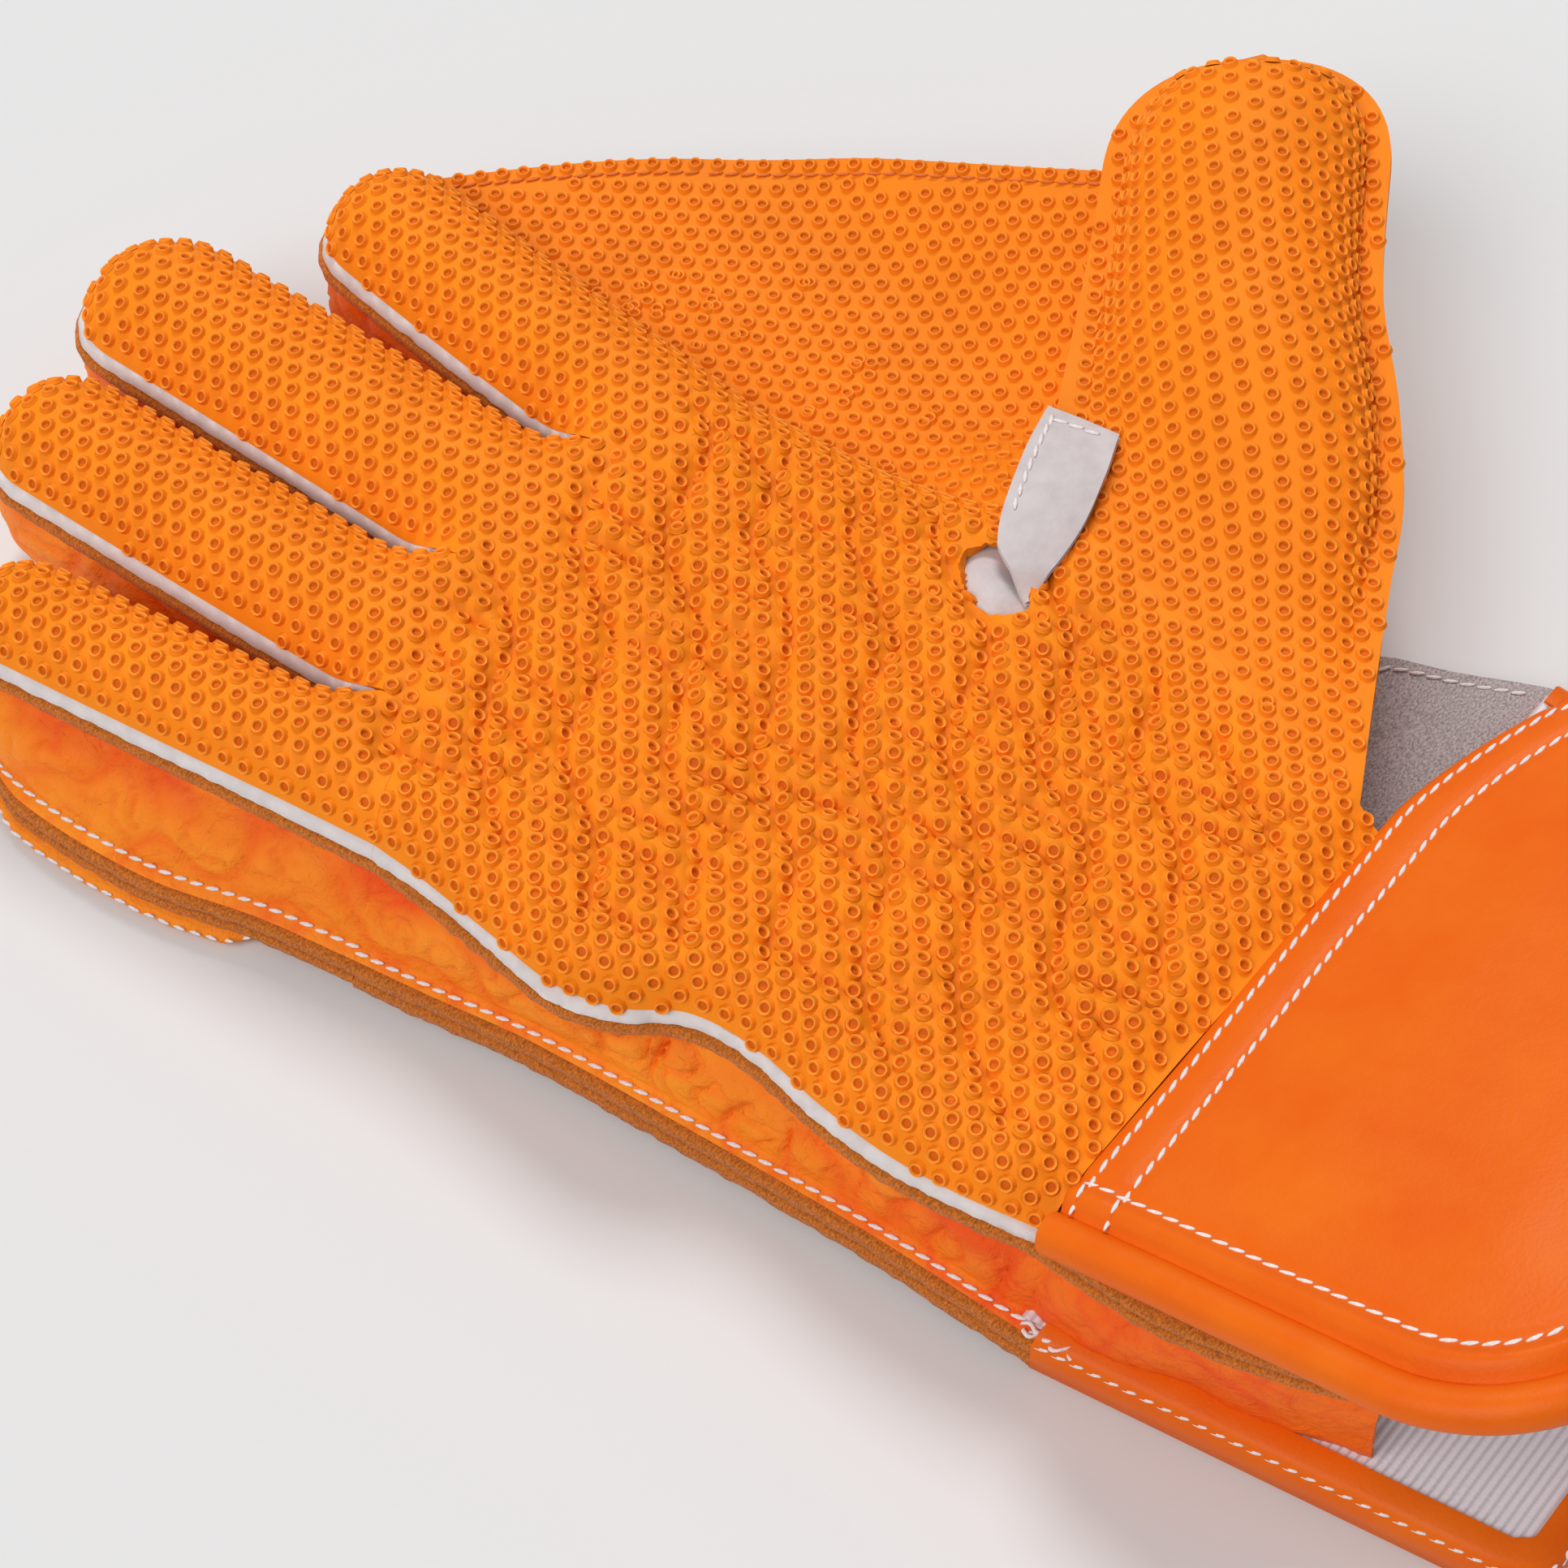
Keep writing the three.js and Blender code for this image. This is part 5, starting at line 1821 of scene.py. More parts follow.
class GLOVE_OT_walls(bpy.types.Operator):
    """Leather side walls of the fingers, thumb and palm, with the sewn foot of the outer side"""

    bl_idname = "glove.walls"
    bl_label = "Side walls"

    def execute(self, context):
        for stall in FINGERS + [THUMB]:
            bm = bmesh.new()
            outward = stall.place(0, 1, 0) - stall.place(0, 0, 0)
            sheet(bm, 170, 20, wall_place(stall), outward, WALL_THICK)
            mark_wrinkles(bm)
            if stall is LITTLE:
                self.little_foot(bm)
            finish_piece(
                f"{stall.name}_wall", bm, ["wall_leather", "raw_suede", "thread"], "leather",
                across=stall.joined(), replaced=(f"{stall.name}_gusset",))
        self.outer()
        self.web_side()
        return {"FINISHED"}

    def little_foot(self, bm):
        """Raw double edge, sewn welt and stitches along the little finger's outer foot."""

        def ridge(u, out, height):
            share = mix(-1.0, LITTLE_FOOT_END, u)
            reach = (out + foot_ragged(LITTLE.rim(share, 0.0, height))) * little_foot_fade(share)
            return LITTLE.rim(share, foot_spread(LITTLE, share) + reach, height, 0.0)

        double_edge(bm, 110, LITTLE_FOOT_LAYERS, FOOT_INNER, RIDGE_OUT, FOOT_STEP, ridge)

        def sewn(u, out, height):
            return ridge(mix(0.18, 1.0, u), (out + SEWN_OUT) * ease(0.0, 0.12, u), height)

        band(bm, 90, slab(*SEWN_SPAN, SEWN_INNER, RIDGE_OUT, 0.8), sewn, 0)
        path = [sewn(mix(0.06, 0.9, share), RIDGE_OUT, 1.9) for share in shares(60)]
        stitches(bm, path, SEWN_STITCH_WAY, 2)
        path = []
        for step in shares(79):
            share = mix(-1.0, LITTLE_FOOT_END - 0.06, step)
            path.append(LITTLE.rim(share, foot_spread(LITTLE, share) + SEWN_OUT, ROLL_TOP + 1.0, 0.0))
        stitches(bm, path, FOOT_STITCH_WAY, 2)

    def outer(self):
        """The palm's outer wall, its raw double foot and its stitches."""

        def ridge(u, out, height):
            y = outer_y(u)
            reach = rubber_left(y) - foot_left(y) + out + foot_ragged((y, height, 1.0))
            return outer_side(y, reach, height)

        bm = bmesh.new()
        sheet(bm, 240, 40, outer_wall, (-1, 0, 0), WALL_THICK)
        mark_wrinkles(bm)
        double_edge(bm, 170, OUTER_FOOT_LAYERS, FOOT_INNER, RIDGE_OUT, FOOT_STEP, ridge)
        path = [outer_wall(share, 0.92) for share in shares(100)]
        stitches(bm, path, FOOT_STITCH_WAY, 2)
        finish_piece(
            "outer_wall", bm, ["wall_leather", "raw_suede", "thread"], "leather", body="palm",
            replaced=("outer_gusset",))

    def web_side(self):
        """The wall below the web, from the thumb's fold to the index finger."""

        def place(u, v):
            y = mix(9.0, ROOTS[-1].y, u)
            out = -WALL_INSET + 1.1 * math.sin(math.pi * v) + 0.4 * ripple((y, v * 16.0, 0.0), 12.0)
            return Vector((palm_right(y) + out, y, mix(WALL_TOP, ROLL_TOP, v)))

        bm = bmesh.new()
        sheet(bm, 60, 14, place, (1, 0, 0), WALL_THICK)
        finish_piece(
            "web_side_wall", bm, ["wall_leather"], "leather", body="palm", replaced=("web_gusset",))


# How far the thumb's back runs on inside the hand's back
BACK_LAP = 7.0


def add_back(name, columns, rows, place, replaced, fill, **joined):
    """Padded leather on the back of a finger, the thumb or the hand."""
    bm = bmesh.new()
    sheet(bm, columns, rows, place, -UP, BACK_THICK)
    finish_piece(f"{name}_back", bm, ["wall_leather"], "leather", replaced=replaced, fill=fill, **joined)


class GLOVE_OT_backs(bpy.types.Operator):
    """Padded leather on the back of the hand, fingers and thumb"""

    bl_idname = "glove.backs"
    bl_label = "Backs"

    def execute(self, context):
        for stall in FINGERS:

            def place(u, v, stall=stall):
                across = 2.0 * u - 1.0
                root = stall.root(across, ROLL_TOP, -ROLL_TOP, ROLL_TURN)
                y = stall.along(root, v)
                outer_share = -(1.0 - v) if across < 0.0 else 1.0 - v
                spread = foot_spread(stall, outer_share)
                sewn = 1.2 * swell(0.0, 0.05, (y - 0.48 * stall.length) / stall.length)
                point = stall.shell(across, y, ROLL_TOP, -ROLL_TOP, ROLL_TURN, spread)
                point.z += sewn * math.cos(across * math.pi / 2.0)
                return point

            add_back(stall.name, 24, 46, place, (f"{stall.name}_back_roll",), 0.8, across=stall.joined())

        def thumb_place(u, v):
            across = 2.0 * u - 1.0
            root = THUMB.root(across)
            y = THUMB.along(root - BACK_LAP, v)
            return THUMB.under(across, y) + UP * 0.6 * ease(root + 5.0, root, y)

        add_back("thumb", 32, 46, thumb_place, ("thumb_back_roll",), 0.8, across=THUMB.joined())
        add_back("hand", 90, 70, PALM_BACK.spread, ("back_panel", "back_padding"), 0.7, body="palm")
        return {"FINISHED"}


# Loop tab on the thumb's root, passed into the palm's slot

TAB_THICK = 2.2
TAB_GAP = 0.15
TAB_RAISE = 1.7
TAB_ARCH = 2.6
TAB_ARCH_END = 0.85
TAB_CURL = 0.5
TAB_DIVE = 3.2
TAB_DIVE_FROM = 0.88
TAB_WAVE = 0.6
TAB_EDGE_ROW = (0.05, 0.62)
TAB_EDGE_AT = 0.74
TAB_END_ROW = 0.72
TAB_END_AT = 0.07
TAB_STITCH_LIFT = 0.05
SLOT_LINING_SHARE = 1.5
SLOT_LINING_DEPTH = 3.6
SLOT_LINING_PUFF = 1.8
SLOT_LINING_THICK = 0.8
tab_left_x = through([(0.0, 78.4), (0.4, 60.5), (0.75, 47.2), (0.9, 43.8), (1.0, 41.6)])
tab_left_y = through([(0.0, 21.0), (0.4, 15.2), (0.75, 9.2), (0.9, 3.6), (1.0, -1.2)])
tab_right_x = through([(0.0, 80.4), (0.35, 69.5), (0.7, 57.0), (1.0, 42.4)])
tab_right_y = through([(0.0, 6.5), (0.35, 2.2), (0.7, -1.2), (1.0, -2.0)])


def tab_point(along, across, height):
    """Point of the loop: along from the thumb to the slot, across from -1 to 1."""
    left = Vector((tab_left_x(along), tab_left_y(along), 0.0))
    right = Vector((tab_right_x(along), tab_right_y(along), 0.0))
    flat = left.lerp(right, (across + 1.0) / 2.0)
    arch = TAB_ARCH * math.sin(math.pi * min(along / TAB_ARCH_END, 1.0)) ** 0.8
    curl = TAB_CURL * across ** 2 * ease(0.1, 0.5, along)
    dive = TAB_DIVE * ease(TAB_DIVE_FROM, 1.0, along)
    wave = TAB_WAVE * ripple((flat.x, flat.y, 0.0), 9.0)
    flat.z = RUBBER_TOP + TAB_RAISE + arch - curl - dive + height + wave
    return raise_flat(flat)


class GLOVE_OT_loop_tab(bpy.types.Operator):
    """Two-layer white leather loop, stitched along its edges, with the slot's lining"""

    bl_idname = "glove.loop_tab"
    bl_label = "Loop tab"

    def execute(self, context):
        bm = bmesh.new()
        for low in (0.0, -TAB_THICK / 2.0):
            sheet(
                bm, 44, 14, lambda u, v, low=low: tab_point(u, 2.0 * v - 1.0, low), UP,
                TAB_THICK / 2.0 - TAB_GAP)
        along = [mix(*TAB_EDGE_ROW, share) for share in shares(40)]
        stitches(bm, [tab_point(u, -TAB_EDGE_AT, TAB_STITCH_LIFT) for u in along], UP, 1)
        across = [mix(-TAB_END_ROW, TAB_END_ROW, share) for share in shares(10)]
        stitches(bm, [tab_point(TAB_END_AT, v, TAB_STITCH_LIFT) for v in across], UP, 1)
        finish_piece(
            "loop_band", bm, ["tab_leather", "thread"], "white_leather",
            across=THUMB.joined(), replaced=("loop_tab",))

        def lining(u, v):
            turn = Matrix.Rotation(SLOT_TURN, 3, "Z")
            long = SLOT_LONG * SLOT_LINING_SHARE * (2.0 * u - 1.0)
            short = SLOT_SHORT * SLOT_LINING_SHARE * (2.0 * v - 1.0)
            point = SLOT_CENTRE + turn @ Vector((long, short, 0.0))
            puffed = SLOT_LINING_PUFF * ease(1.2, 0.2, slot_reach(point))
            point.z = RUBBER_TOP - SLOT_LINING_DEPTH + puffed + 0.5 * ripple(point, 6.0)
            return point

        bm = bmesh.new()
        sheet(bm, 20, 16, lining, UP, SLOT_LINING_THICK)
        finish_piece("slot_lining", bm, ["tab_leather"], "white_leather", body="palm")
        return {"FINISHED"}


# Cuffs

COVER_LIFT = 0.8
COVER_EDGE_FALL = 3.4
COVER_RIDGE = 0.7
COVER_VALLEY = 0.6
COVER_CROWN = 1.6
COVER_SEAM_FALL = 1.0
COVER_DIMPLE = 0.4
COVER_WAVE = 0.35
ROLL_CENTRE = (1.6, -3.6)
BINDING_SPAN = (0.1, 11.2)
BINDING_INNER = -3.0
BINDING_OUT = 2.6
BINDING_SOFT = 1.6
BINDING_STITCH = (2.3, 9.4)
GUSSET_REACH = 58.0
GUSSET_RED = 0.65
GUSSET_LAYERS = ((0.0, 2.0), (2.4, 4.4))
GUSSET_EDGE_INNER = -3.5
GUSSET_EDGE_STEP = 0.5
GUSSET_BEND = (2.0, -25.0)
TUFT_STRANDS = 9
TUFT_START = Vector((-57.5, WRIST_Y - 1.0, 9.6))
TUFT_STEP = 0.9
TUFT_REACH = Vector((1.6, -5.5, 0.5))
TUFT_RADIUS = 0.42


def cuff_end(x, left, right, length, corner):
    """Length of a cuff at x, with its free corners rounded."""
    short = 0.0
    for reach in (x + left, right - x):
        inset = corner - min(max(reach, 0.0), corner)
        short = max(short, corner - math.sqrt(max(corner ** 2 - inset ** 2, 0.0)))
    return length - short


def palm_cuff_end(x):
    """Length of the palm cuff at x."""
    return cuff_end(x, PALM_CUFF_HALF, PALM_CUFF_REACH, PALM_CUFF_LENGTH, PALM_CUFF_CORNER)


def cuff_edge(share, left, left_end, right, length, corner, start, stop):
    """Free edge of a cuff in plan as (x, distance from the seam), with the outward direction."""
    sides = [
        (length - corner - start), corner * math.pi / 2.0, left_end + right - 2.0 * corner,
        corner * math.pi / 2.0, (length - corner - stop)]
    travel = share * sum(sides)
    if travel <= sides[0]:
        q = start + travel
        return Vector((-mix(left, left_end, q / length), q)), Vector((-1.0, 0.0))
    travel -= sides[0]
    if travel <= sides[1]:
        angle = travel / corner
        away = Vector((-math.cos(angle), math.sin(angle)))
        return Vector((-left_end + corner, length - corner)) + away * corner, away
    travel -= sides[1]
    if travel <= sides[2]:
        return Vector((-left_end + corner + travel, length)), Vector((0.0, 1.0))
    travel -= sides[2]
    if travel <= sides[3]:
        angle = travel / corner
        away = Vector((math.sin(angle), math.cos(angle)))
        return Vector((right - corner, length - corner)) + away * corner, away
    travel -= sides[3]
    return Vector((right, length - corner - travel)), Vector((1.0, 0.0))


def palm_cuff_edge(share, start, stop):
    """Free edge of the palm cuff, as cuff_edge gives it."""
    return cuff_edge(
        share, PALM_CUFF_HALF, PALM_CUFF_HALF, PALM_CUFF_REACH, PALM_CUFF_LENGTH, PALM_CUFF_CORNER,
        start, stop)


def knit_rib(y):
    """Height of the knit's ribs, which run across the cuff."""
    return KNIT_RIB_HEIGHT * math.sin(2.0 * math.pi * y / KNIT_RIB_PITCH)


def place_palm_cuff(x, q, h):
    """Point of the palm cuff: across, away from the seam, and above its cover's plane."""
    return Vector((x, WRIST_Y, PALM_CUFF_TOP)) + PALM_CUFF_WAY * q + PALM_CUFF_NORMAL * h


def palm_cuff_seam(x):
    """Where the cover begins: it steps back beside the thumb."""
    share = max(x - PALM_CUFF_STEP_FROM, 0.0) / (PALM_CUFF_REACH - PALM_CUFF_STEP_FROM)
    return PALM_CUFF_SEAM + PALM_CUFF_STEP * share ** 1.5


def palm_cuff_height(x, q):
    """Height of the cover: crowned, with a ridge and a valley beside the rolled edge, and sewn dimples."""
    corner = PALM_CUFF_CORNER
    edge = min(x + PALM_CUFF_HALF, PALM_CUFF_REACH - x, PALM_CUFF_LENGTH - q)
    for side in (-PALM_CUFF_HALF + corner, PALM_CUFF_REACH - corner):
        beyond = side - x if side < 0.0 else x - side
        past = q - PALM_CUFF_LENGTH + corner
        if beyond > 0.0 and past > 0.0:
            edge = corner - math.hypot(beyond, past)
    seam = q - palm_cuff_seam(x)
    height = COVER_LIFT - COVER_EDGE_FALL * swell(0.0, 2.6, edge) + COVER_RIDGE * swell(4.0, 1.8, edge)
    height -= COVER_VALLEY * swell(PALM_CUFF_EDGE_ROW, 1.3, edge)
    height += COVER_CROWN * ease(7.0, 30.0, edge) * ease(9.0, 34.0, seam)
    height -= COVER_SEAM_FALL * ease(1.4, 0.0, seam)
    for row in PALM_CUFF_ROWS:
        height -= COVER_DIMPLE * swell(row, 1.1, seam)
    return height + COVER_WAVE * ripple((x, q, 0.0), 32.0)


def palm_cuff_point(x, q, lift=0.0):
    """Point on the palm cuff's cover."""
    return place_palm_cuff(x, q, palm_cuff_height(x, q) + lift)


class GLOVE_OT_palm_cuff(bpy.types.Operator):
    """Padded palm cuff with two rows of stitches at the seam, a rolled edge and a knitted lining"""

    bl_idname = "glove.palm_cuff"
    bl_label = "Palm cuff"

    def execute(self, context):
        def cover(u, v):
            x = mix(-PALM_CUFF_HALF, PALM_CUFF_REACH, u)
            return palm_cuff_point(x, mix(palm_cuff_seam(x), palm_cuff_end(x), v))

        bm = bmesh.new()
        sheet(bm, 110, 90, cover, PALM_CUFF_NORMAL, CUFF_PAD)
        for inset in PALM_CUFF_ROWS:
            xs = [mix(-PALM_CUFF_HALF + 1.5, PALM_CUFF_REACH - 6.0, share) for share in shares(120)]
            path = [palm_cuff_point(x, palm_cuff_seam(x) + inset) for x in xs]
            stitches(bm, path, PALM_CUFF_NORMAL, 1)
        path = []
        for share in shares(160):
            spot, away = palm_cuff_edge(mix(0.0, 0.98, share), 1.5, PALM_CUFF_STEP + 4.0)
            spot = spot - away * PALM_CUFF_EDGE_ROW
            path.append(palm_cuff_point(spot.x, spot.y))
        stitches(bm, path, PALM_CUFF_NORMAL, 1)
        finish_piece(
            "palm_cuff_pad", bm, ["cuff_leather", "thread"], "leather", body="palm_cuff",
            replaced=("palm_cuff_cover", "palm_cuff_padding"), fill=0.7)

        def roll(u, out, height):
            spot, away = palm_cuff_edge(u, 0.2, PALM_CUFF_STEP + 1.0)
            spot = spot + away * out
            return place_palm_cuff(spot.x, spot.y, height + 0.25 * ripple((spot.x, spot.y, 0.0), 20.0))

        bm = bmesh.new()
        band(bm, 200, round_section(*ROLL_CENTRE, ROLL_RADIUS, 16), roll)
        finish_piece(
            "palm_cuff_roll", bm, ["cuff_leather"], "leather", body="palm_cuff",
            replaced=("palm_cuff_binding",))
        self.lining()
        return {"FINISHED"}

    def lining(self):
        """Knitted sheet under the palm cuff."""
        margin = PALM_CUFF_MARGIN

        def place(u, v):
            x = mix(-PALM_CUFF_HALF + margin, PALM_CUFF_REACH - margin, u)
            q = mix(palm_cuff_seam(x) + PALM_CUFF_KNIT_START, palm_cuff_end(x) - margin, v)
            return place_palm_cuff(x, q, PALM_CUFF_KNIT_HEIGHT + knit_rib(place_palm_cuff(x, q, 0.0).y))

        bm = bmesh.new()
        sheet(bm, 30, 320, place, -UP, KNIT_THICK)
        piece = finish_piece(
            "palm_cuff_knit", bm, ["knit"], "knit", body="palm_cuff", replaced=("palm_cuff_lining",))


def back_cuff_left(q):
    """Left edge of the back cuff, tapered towards its free end."""
    return BACK_CUFF_HALF - BACK_CUFF_TAPER * q / BACK_CUFF_LENGTH


def back_cuff_end(x, q):
    """Length of the back cuff at x."""
    return cuff_end(x, back_cuff_left(q), BACK_CUFF_REACH, BACK_CUFF_LENGTH, BACK_CUFF_CORNER)


class GLOVE_OT_back_cuff(bpy.types.Operator):
    """Padded back cuff with a bound edge, a knitted lining and the folded gusset beside the wrist"""

    bl_idname = "glove.back_cuff"
    bl_label = "Back cuff"

    def execute(self, context):
        def cover(u, v):
            q = mix(0.0, BACK_CUFF_LENGTH, v)
            x = mix(-back_cuff_left(q), BACK_CUFF_REACH, u)
            end = back_cuff_end(x, q)
            edge = min(x + back_cuff_left(q), BACK_CUFF_REACH - x, end - q * end / BACK_CUFF_LENGTH)
            dent = BACK_CUFF_DENT * back_seam(x + BACK_CUFF_HALF) * ease(4.0, 12.0, edge)
            return Vector((x, WRIST_Y - q * end / BACK_CUFF_LENGTH, BACK_CUFF_FOOT + dent))

        bm = bmesh.new()
        sheet(bm, 110, 60, cover, -UP, CUFF_PAD)
        finish_piece(
            "back_cuff_pad", bm, ["cuff_leather"], "leather", body="back_cuff",
            replaced=("back_cuff_cover", "back_cuff_padding"), fill=0.7)
        self.edge()
        self.lining()
        self.gusset()
        return {"FINISHED"}

    def edge(self):
        """Binding round the free edges, with a row of stitches near its top."""

        def spot_at(u, out):
            spot, away = cuff_edge(
                u, BACK_CUFF_HALF, BACK_CUFF_HALF - BACK_CUFF_TAPER, BACK_CUFF_REACH, BACK_CUFF_LENGTH,
                BACK_CUFF_CORNER, 4.6, 1.0)
            return spot + away * out

        def bound(u, out, height):
            spot = spot_at(u, out)
            return Vector((spot.x, WRIST_Y - spot.y, height))

        bm = bmesh.new()
        band(bm, 180, slab(*BINDING_SPAN, BINDING_INNER, BINDING_OUT, BINDING_SOFT), bound)
        path = [bound(step / 160.0, *BINDING_STITCH) for step in range(58)]
        stitches(bm, path, Vector((-0.8, 0.0, 0.6)), 1)
        finish_piece(
            "back_cuff_edge", bm, ["cuff_leather", "thread"], "leather", body="back_cuff",
            replaced=("back_cuff_binding",))

    def lining(self):
        """Knitted sheet on the back cuff."""
        margin = BACK_CUFF_MARGIN

        def place(u, v):
            q = mix(BACK_CUFF_KNIT_START, BACK_CUFF_LENGTH - margin, v)
            x = mix(-back_cuff_left(q) + margin, BACK_CUFF_REACH - margin, u)
            y = WRIST_Y - q * back_cuff_end(x, q) / BACK_CUFF_LENGTH
            return Vector((x, y, BACK_CUFF_KNIT_TOP + knit_rib(y)))

        bm = bmesh.new()
        sheet(bm, 36, 320, place, UP, KNIT_THICK)
        piece = finish_piece(
            "back_cuff_knit", bm, ["knit"], "knit", body="back_cuff", replaced=("back_cuff_lining",))

    def gusset(self):
        """Folded leather panel from the outer wall past the wrist, with its raw double edge."""
        reach = GUSSET_REACH
        top_x = through([(-5.0, -51.0), (0.0, -51.7), (22.7, -52.0), (40.0, -49.2), (reach, -44.6)])
        foot_x = through([(-5.0, -54.5), (10.0, -55.0), (25.0, -50.8), (41.5, -46.8), (reach, -41.7)])
        top_z = through([(0.0, WALL_TOP), (24.0, WALL_TOP + 2.6), (reach, WALL_TOP + 9.5)])

        def panel(u, v):
            q = mix(-1.0, reach, u)
            puffed = mix(1.2, 1.8, ease(0.0, 20.0, q)) * math.sin(math.pi * v) - 1.6 * ease(5.0, -1.0, q)
            x = mix(top_x(q), foot_x(q), v) - puffed
            point = Vector((x, WRIST_Y - q, mix(top_z(q), BACK_CUFF_KNIT_TOP, v)))
            point.x -= 0.7 * ripple(point, 12.0) + 0.4 * ripple(point, 4.0) + 0.15 * ripple(point, 1.8)
            return point

        def raw(u, out, height):
            q = u * (reach - 3.0)
            rounded = math.sqrt(max(1.0 - max((u - 0.94) / 0.06, 0.0) ** 2, 0.0))
            reach_out = (out + foot_ragged((q, height, 5.0))) * mix(0.4, 1.0, rounded)
            lift = SUEDE_BAND[0] - WALL_TOP
            return Vector((top_x(q) - reach_out, WRIST_Y - q, top_z(q) + lift + height))

        bm = bmesh.new()
        sheet(bm, 90, 26, panel, (-1, 0, 0), WALL_THICK)
        # The gusset is tinted redder all over, with painted shade in its wrinkles
        layer = bm.verts.layers.float.new(LIGHT_AND_TONE_MARKS)
        for vert in bm.verts:
            vert[layer] = min(GUSSET_RED + 0.4 * creases(vert.co), 1.0)
        double_edge(bm, 100, GUSSET_LAYERS, GUSSET_EDGE_INNER, SUEDE_OUT, GUSSET_EDGE_STEP, raw)
        self.tuft(bm)
        start, end = (Vector((0.0, WRIST_Y + along, 0.0)) * MM for along in GUSSET_BEND)
        finish_piece(
            "wrist_gusset", bm, ["wall_leather", "raw_suede", "thread"], "leather",
            across=("palm", "back_cuff", start, end), replaced=("cuff_gusset",))

    def tuft(self, bm):
        """Loose ends of the sewing thread where the outer side meets the cuff."""
        for strand in range(TUFT_STRANDS):
            turn = strand * 2.4
            aside = Vector((0.5 * math.cos(turn), -strand * TUFT_STEP, 0.4 * math.sin(turn)))
            begin = TUFT_START + aside

            def place(u, out, height, turn=turn, begin=begin):
                wave = Vector((math.cos(turn + 5.0 * u), 0.0, 0.6 * math.sin(turn * 1.7 + 4.0 * u)))
                bend = wave * 1.1 * math.sin(math.pi * u)
                return begin + TUFT_REACH * u + bend + Vector((out, 0.0, height))

            band(bm, 10, round_section(0.0, 0.0, TUFT_RADIUS, 6), place, 2)


FLARE_ENDS = (46.0, 108.4)
FLARE_HEIGHT = 5.2
FLARE_WAVE = 1.2
FLARE_WAVE_SIZE = 22.0
FLARE_THICK = 1.8
FLARE_STITCH_ENDS = (50.0, 106.0)
FLARE_STITCH_INSET = Vector((-1.6, -2.6, 0.2))
flare_edge = through([
    (46.0, -68.0), (62.0, -57.0), (80.0, -45.5), (94.0, -44.5), (101.0, -58.5), (108.6, -74.0)])


def flare_point(x, y):
    """Point of the suede beside the wrist."""
    return Vector((x, y, FLARE_HEIGHT + FLARE_WAVE * ripple((x, y, 0.0), FLARE_WAVE_SIZE)))


class GLOVE_OT_wrist_flare(bpy.types.Operator):
    """Pale suede beside the wrist, on the thumb's side"""

    bl_idname = "glove.wrist_flare"
    bl_label = "Wrist flare"

    def execute(self, context):
        def place(u, v):
            x = mix(*FLARE_ENDS, u)
            return flare_point(x, mix(WRIST_Y - 1.0, flare_edge(x) + 0.25 * ripple((x, 0.0, 0.0), 1.5), v))

        bm = bmesh.new()
        sheet(bm, 110, 24, place, UP, FLARE_THICK)
        path = []
        for share in shares(60):
            x = mix(*FLARE_STITCH_ENDS, share)
            path.append(flare_point(x, flare_edge(x)) + FLARE_STITCH_INSET)
        stitches(bm, path, UP, 1)
        finish_piece(
            "wrist_suede", bm, ["pale_suede", "thread"], "suede", body="palm", replaced=("wrist_lining",))
        return {"FINISHED"}


# Tip guards: share of the edge they follow on each side, how far inside it they lie, and the room above
GUARD_SPAN = 0.24
GUARD_DEPTH = (-6.6, -5.2)
GUARD_ROOM = 2.0


class GLOVE_OT_inner_finishes(bpy.types.Operator):
    """Stiff guards inside the tips, and the finish of the lining that stays inside the glove"""

    bl_idname = "glove.inner_finishes"
    bl_label = "Inner finishes"

    def execute(self, context):
        for stall in FINGERS + [THUMB]:

            def guard(u, out, height, stall=stall):
                return stall.rim(mix(-GUARD_SPAN, GUARD_SPAN, u), out, height, 0.0)

            bm = bmesh.new()
            band(bm, 40, slab(ROLL_TOP, WALL_TOP - GUARD_ROOM, *GUARD_DEPTH, 0.4), guard)
            finish_piece(
                f"{stall.name}_guard", bm, ["tip_guard"], "tip_guard", body=stall.body,
                replaced=(f"{stall.name}_tip_guard",))
        mesh = frame["nodes"]["back_lining"].data
        mesh.materials.clear()
        mesh.materials.append(finish("pale_suede"))
        return {"FINISHED"}


# Stage

CAMERA_TARGET = Vector((-0.011765, 0.009622, 0.034))
CAMERA_AZIMUTH = math.radians(-51.188)
CAMERA_ELEVATION = math.radians(55.0)
CAMERA_DISTANCE = 0.6
CAMERA_LENS = 81.28
CAMERA_SENSOR = 36.0
FLOOR_SIZE = 6.0
FLOOR_DROP = 0.0006
SKY = 0.35
LAMPS = (
    ("key", 1.45, (-0.58, -0.44, -1.0), 20.0),
    ("fill", 1.6, (0.66, -0.08, -0.75), 40.0),
)


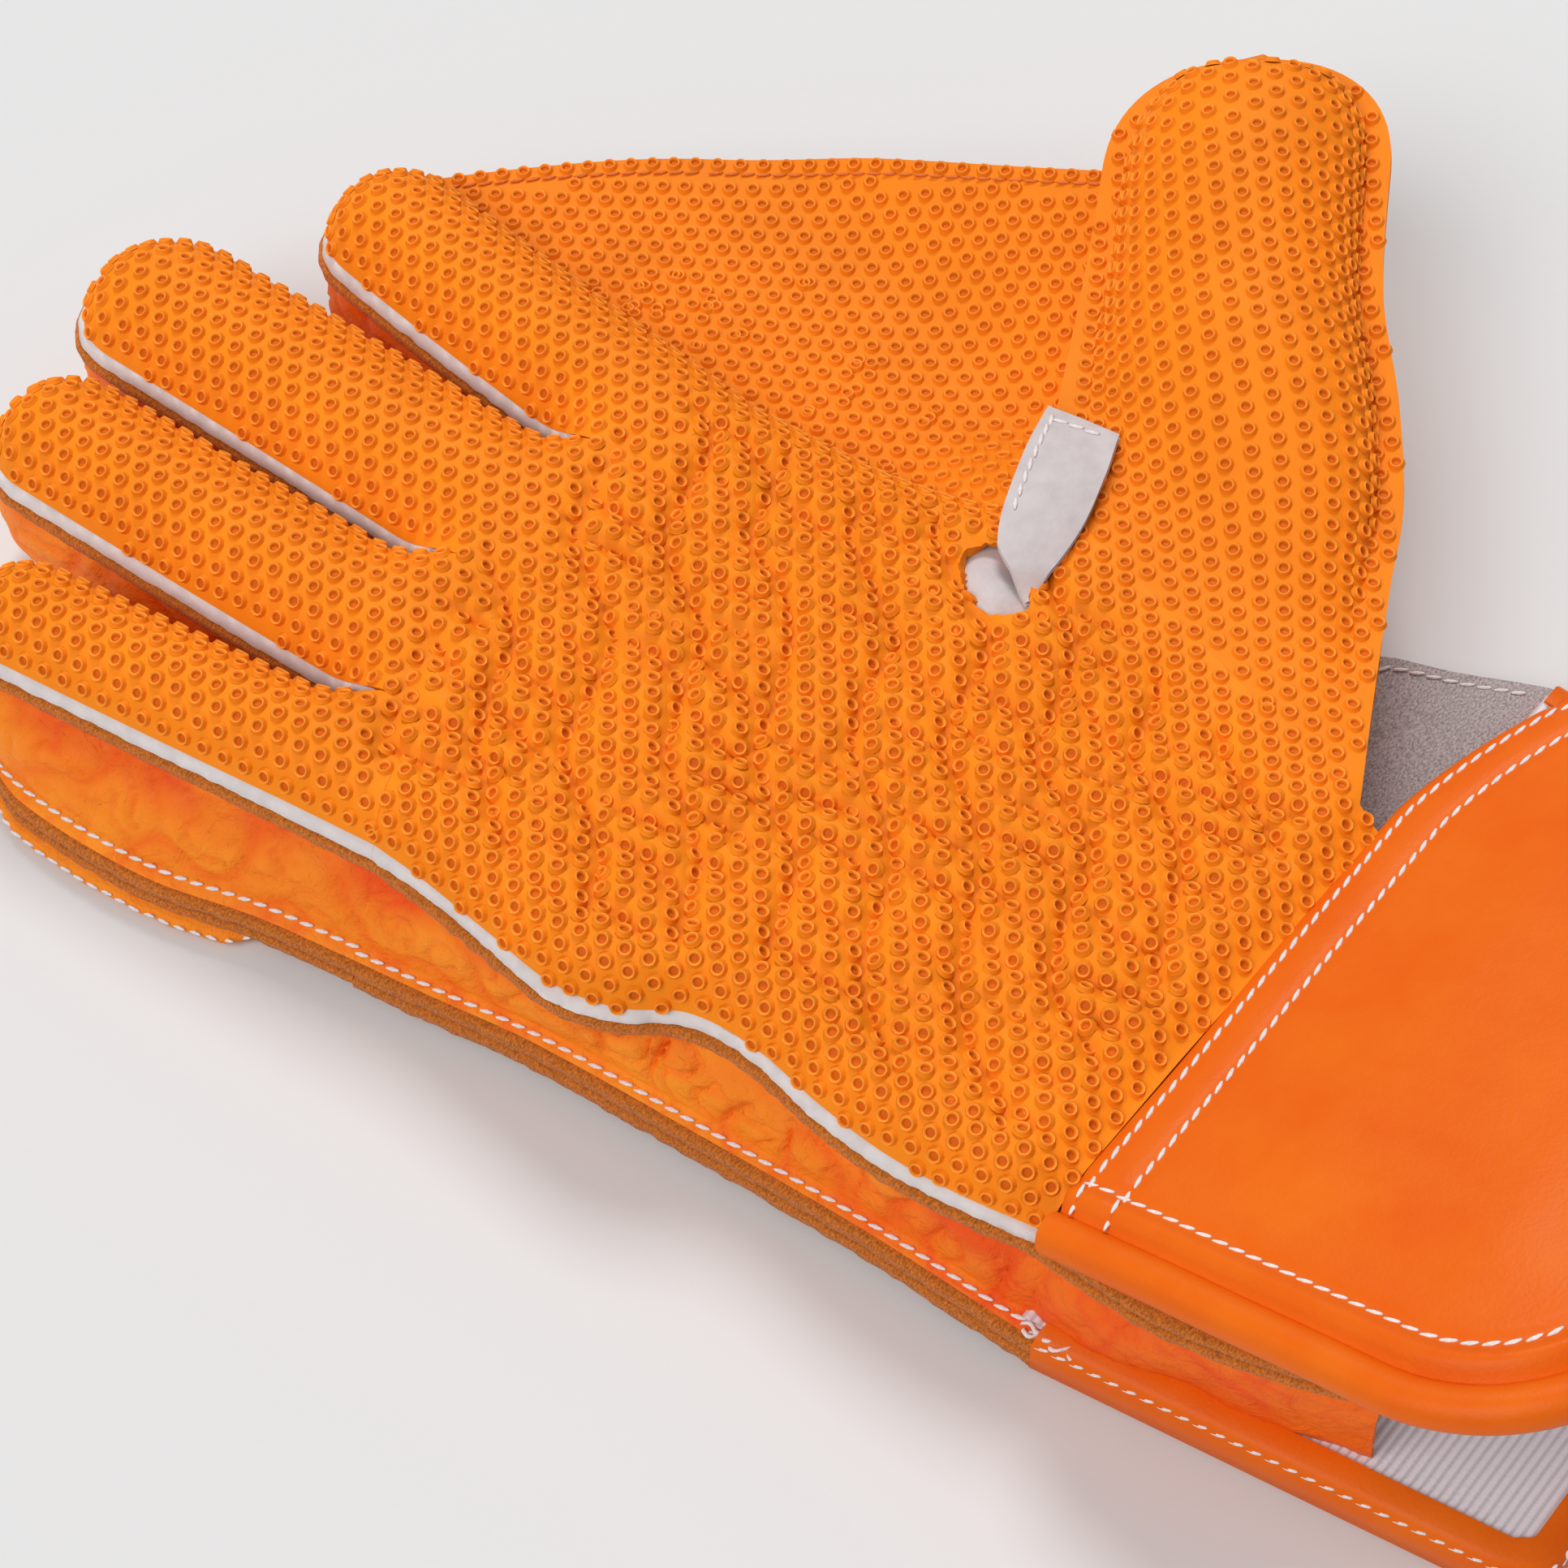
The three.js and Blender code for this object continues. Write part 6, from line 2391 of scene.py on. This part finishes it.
class GLOVE_OT_stage(bpy.types.Operator):
    """Pale floor, soft light and the camera"""

    bl_idname = "glove.stage"
    bl_label = "Stage"

    def execute(self, context):
        scene = context.scene
        scene.view_settings.view_transform = "Standard"
        self.floor(scene)
        self.light(scene)
        self.camera(scene)
        return {"FINISHED"}

    def floor(self, scene):
        """Plain floor just below the glove."""
        bm = bmesh.new()
        bmesh.ops.create_grid(bm, x_segments=1, y_segments=1, size=FLOOR_SIZE)
        bmesh.ops.translate(bm, verts=bm.verts, vec=(0.0, 0.0, -FLOOR_DROP))
        mesh = bpy.data.meshes.new("floor")
        bm.to_mesh(mesh)
        bm.free()
        material, _, shader, _ = new_nodes("floor", tuple(colours().floor), 0.9)
        shader.inputs["Specular IOR Level"].default_value = 0.1
        mesh.materials.append(material)
        floor = bpy.data.objects.new("floor", mesh)
        scene.collection.objects.link(floor)

    def light(self, scene):
        """Two soft lamps and an even sky."""
        world = bpy.data.worlds.new("studio")
        world.use_nodes = True
        background = world.node_tree.nodes["Background"]
        background.inputs["Color"].default_value = (1.0, 1.0, 1.0, 1.0)
        background.inputs["Strength"].default_value = SKY
        scene.world = world
        for name, energy, direction, angle in LAMPS:
            lamp = bpy.data.lights.new(name, "SUN")
            lamp.energy = energy
            lamp.angle = math.radians(angle)
            sun = bpy.data.objects.new(name, lamp)
            sun.rotation_mode = "QUATERNION"
            sun.rotation_quaternion = Vector(direction).to_track_quat("-Z", "Y")
            scene.collection.objects.link(sun)

    def camera(self, scene):
        """Camera at the photograph's viewing angle."""
        back = Vector((
            math.sin(CAMERA_AZIMUTH) * math.cos(CAMERA_ELEVATION),
            -math.cos(CAMERA_AZIMUTH) * math.cos(CAMERA_ELEVATION),
            math.sin(CAMERA_ELEVATION)))
        data = bpy.data.cameras.new("camera")
        data.lens = CAMERA_LENS
        data.sensor_width = CAMERA_SENSOR
        camera = bpy.data.objects.new("camera", data)
        camera.location = CAMERA_TARGET + back * CAMERA_DISTANCE
        camera.rotation_mode = "QUATERNION"
        camera.rotation_quaternion = (-back).to_track_quat("-Z", "Y")
        scene.collection.objects.link(camera)
        scene.camera = camera


OPERATORS = (
    GLOVE_OT_stage,
    GLOVE_OT_palm_rubber,
    GLOVE_OT_finger_rubber,
    GLOVE_OT_thumb_rubber,
    GLOVE_OT_web,
    GLOVE_OT_welts,
    GLOVE_OT_walls,
    GLOVE_OT_backs,
    GLOVE_OT_loop_tab,
    GLOVE_OT_palm_cuff,
    GLOVE_OT_back_cuff,
    GLOVE_OT_wrist_flare,
    GLOVE_OT_inner_finishes,
)


class GLOVE_PT_panel(bpy.types.Panel):
    """The glove's pieces, sizes and colours"""

    bl_idname = "GLOVE_PT_panel"
    bl_label = "Wicket keeping glove"
    bl_space_type = "VIEW_3D"
    bl_region_type = "UI"
    bl_category = "Glove"

    def draw(self, context):
        layout = self.layout
        for operator in OPERATORS:
            layout.operator(operator.bl_idname)
        for group in (context.scene.glove_sizes, context.scene.glove_colours):
            for name in group.__annotations__:
                layout.prop(group, name)


CLASSES = (GloveSizes, GloveColours, *OPERATORS, GLOVE_PT_panel)


def register():
    """Registers the classes and the scene's settings."""
    for item in CLASSES:
        bpy.utils.register_class(item)
    bpy.types.Scene.glove_sizes = PointerProperty(type=GloveSizes)
    bpy.types.Scene.glove_colours = PointerProperty(type=GloveColours)


def unregister():
    """Removes the settings and the classes."""
    del bpy.types.Scene.glove_colours
    del bpy.types.Scene.glove_sizes
    for item in reversed(CLASSES):
        bpy.utils.unregister_class(item)


def main():
    """Registers the classes and makes every piece."""
    register()
    for operator in OPERATORS:
        group, name = operator.bl_idname.split(".")
        getattr(getattr(bpy.ops, group), name)()


if __name__ == "__main__":
    main()
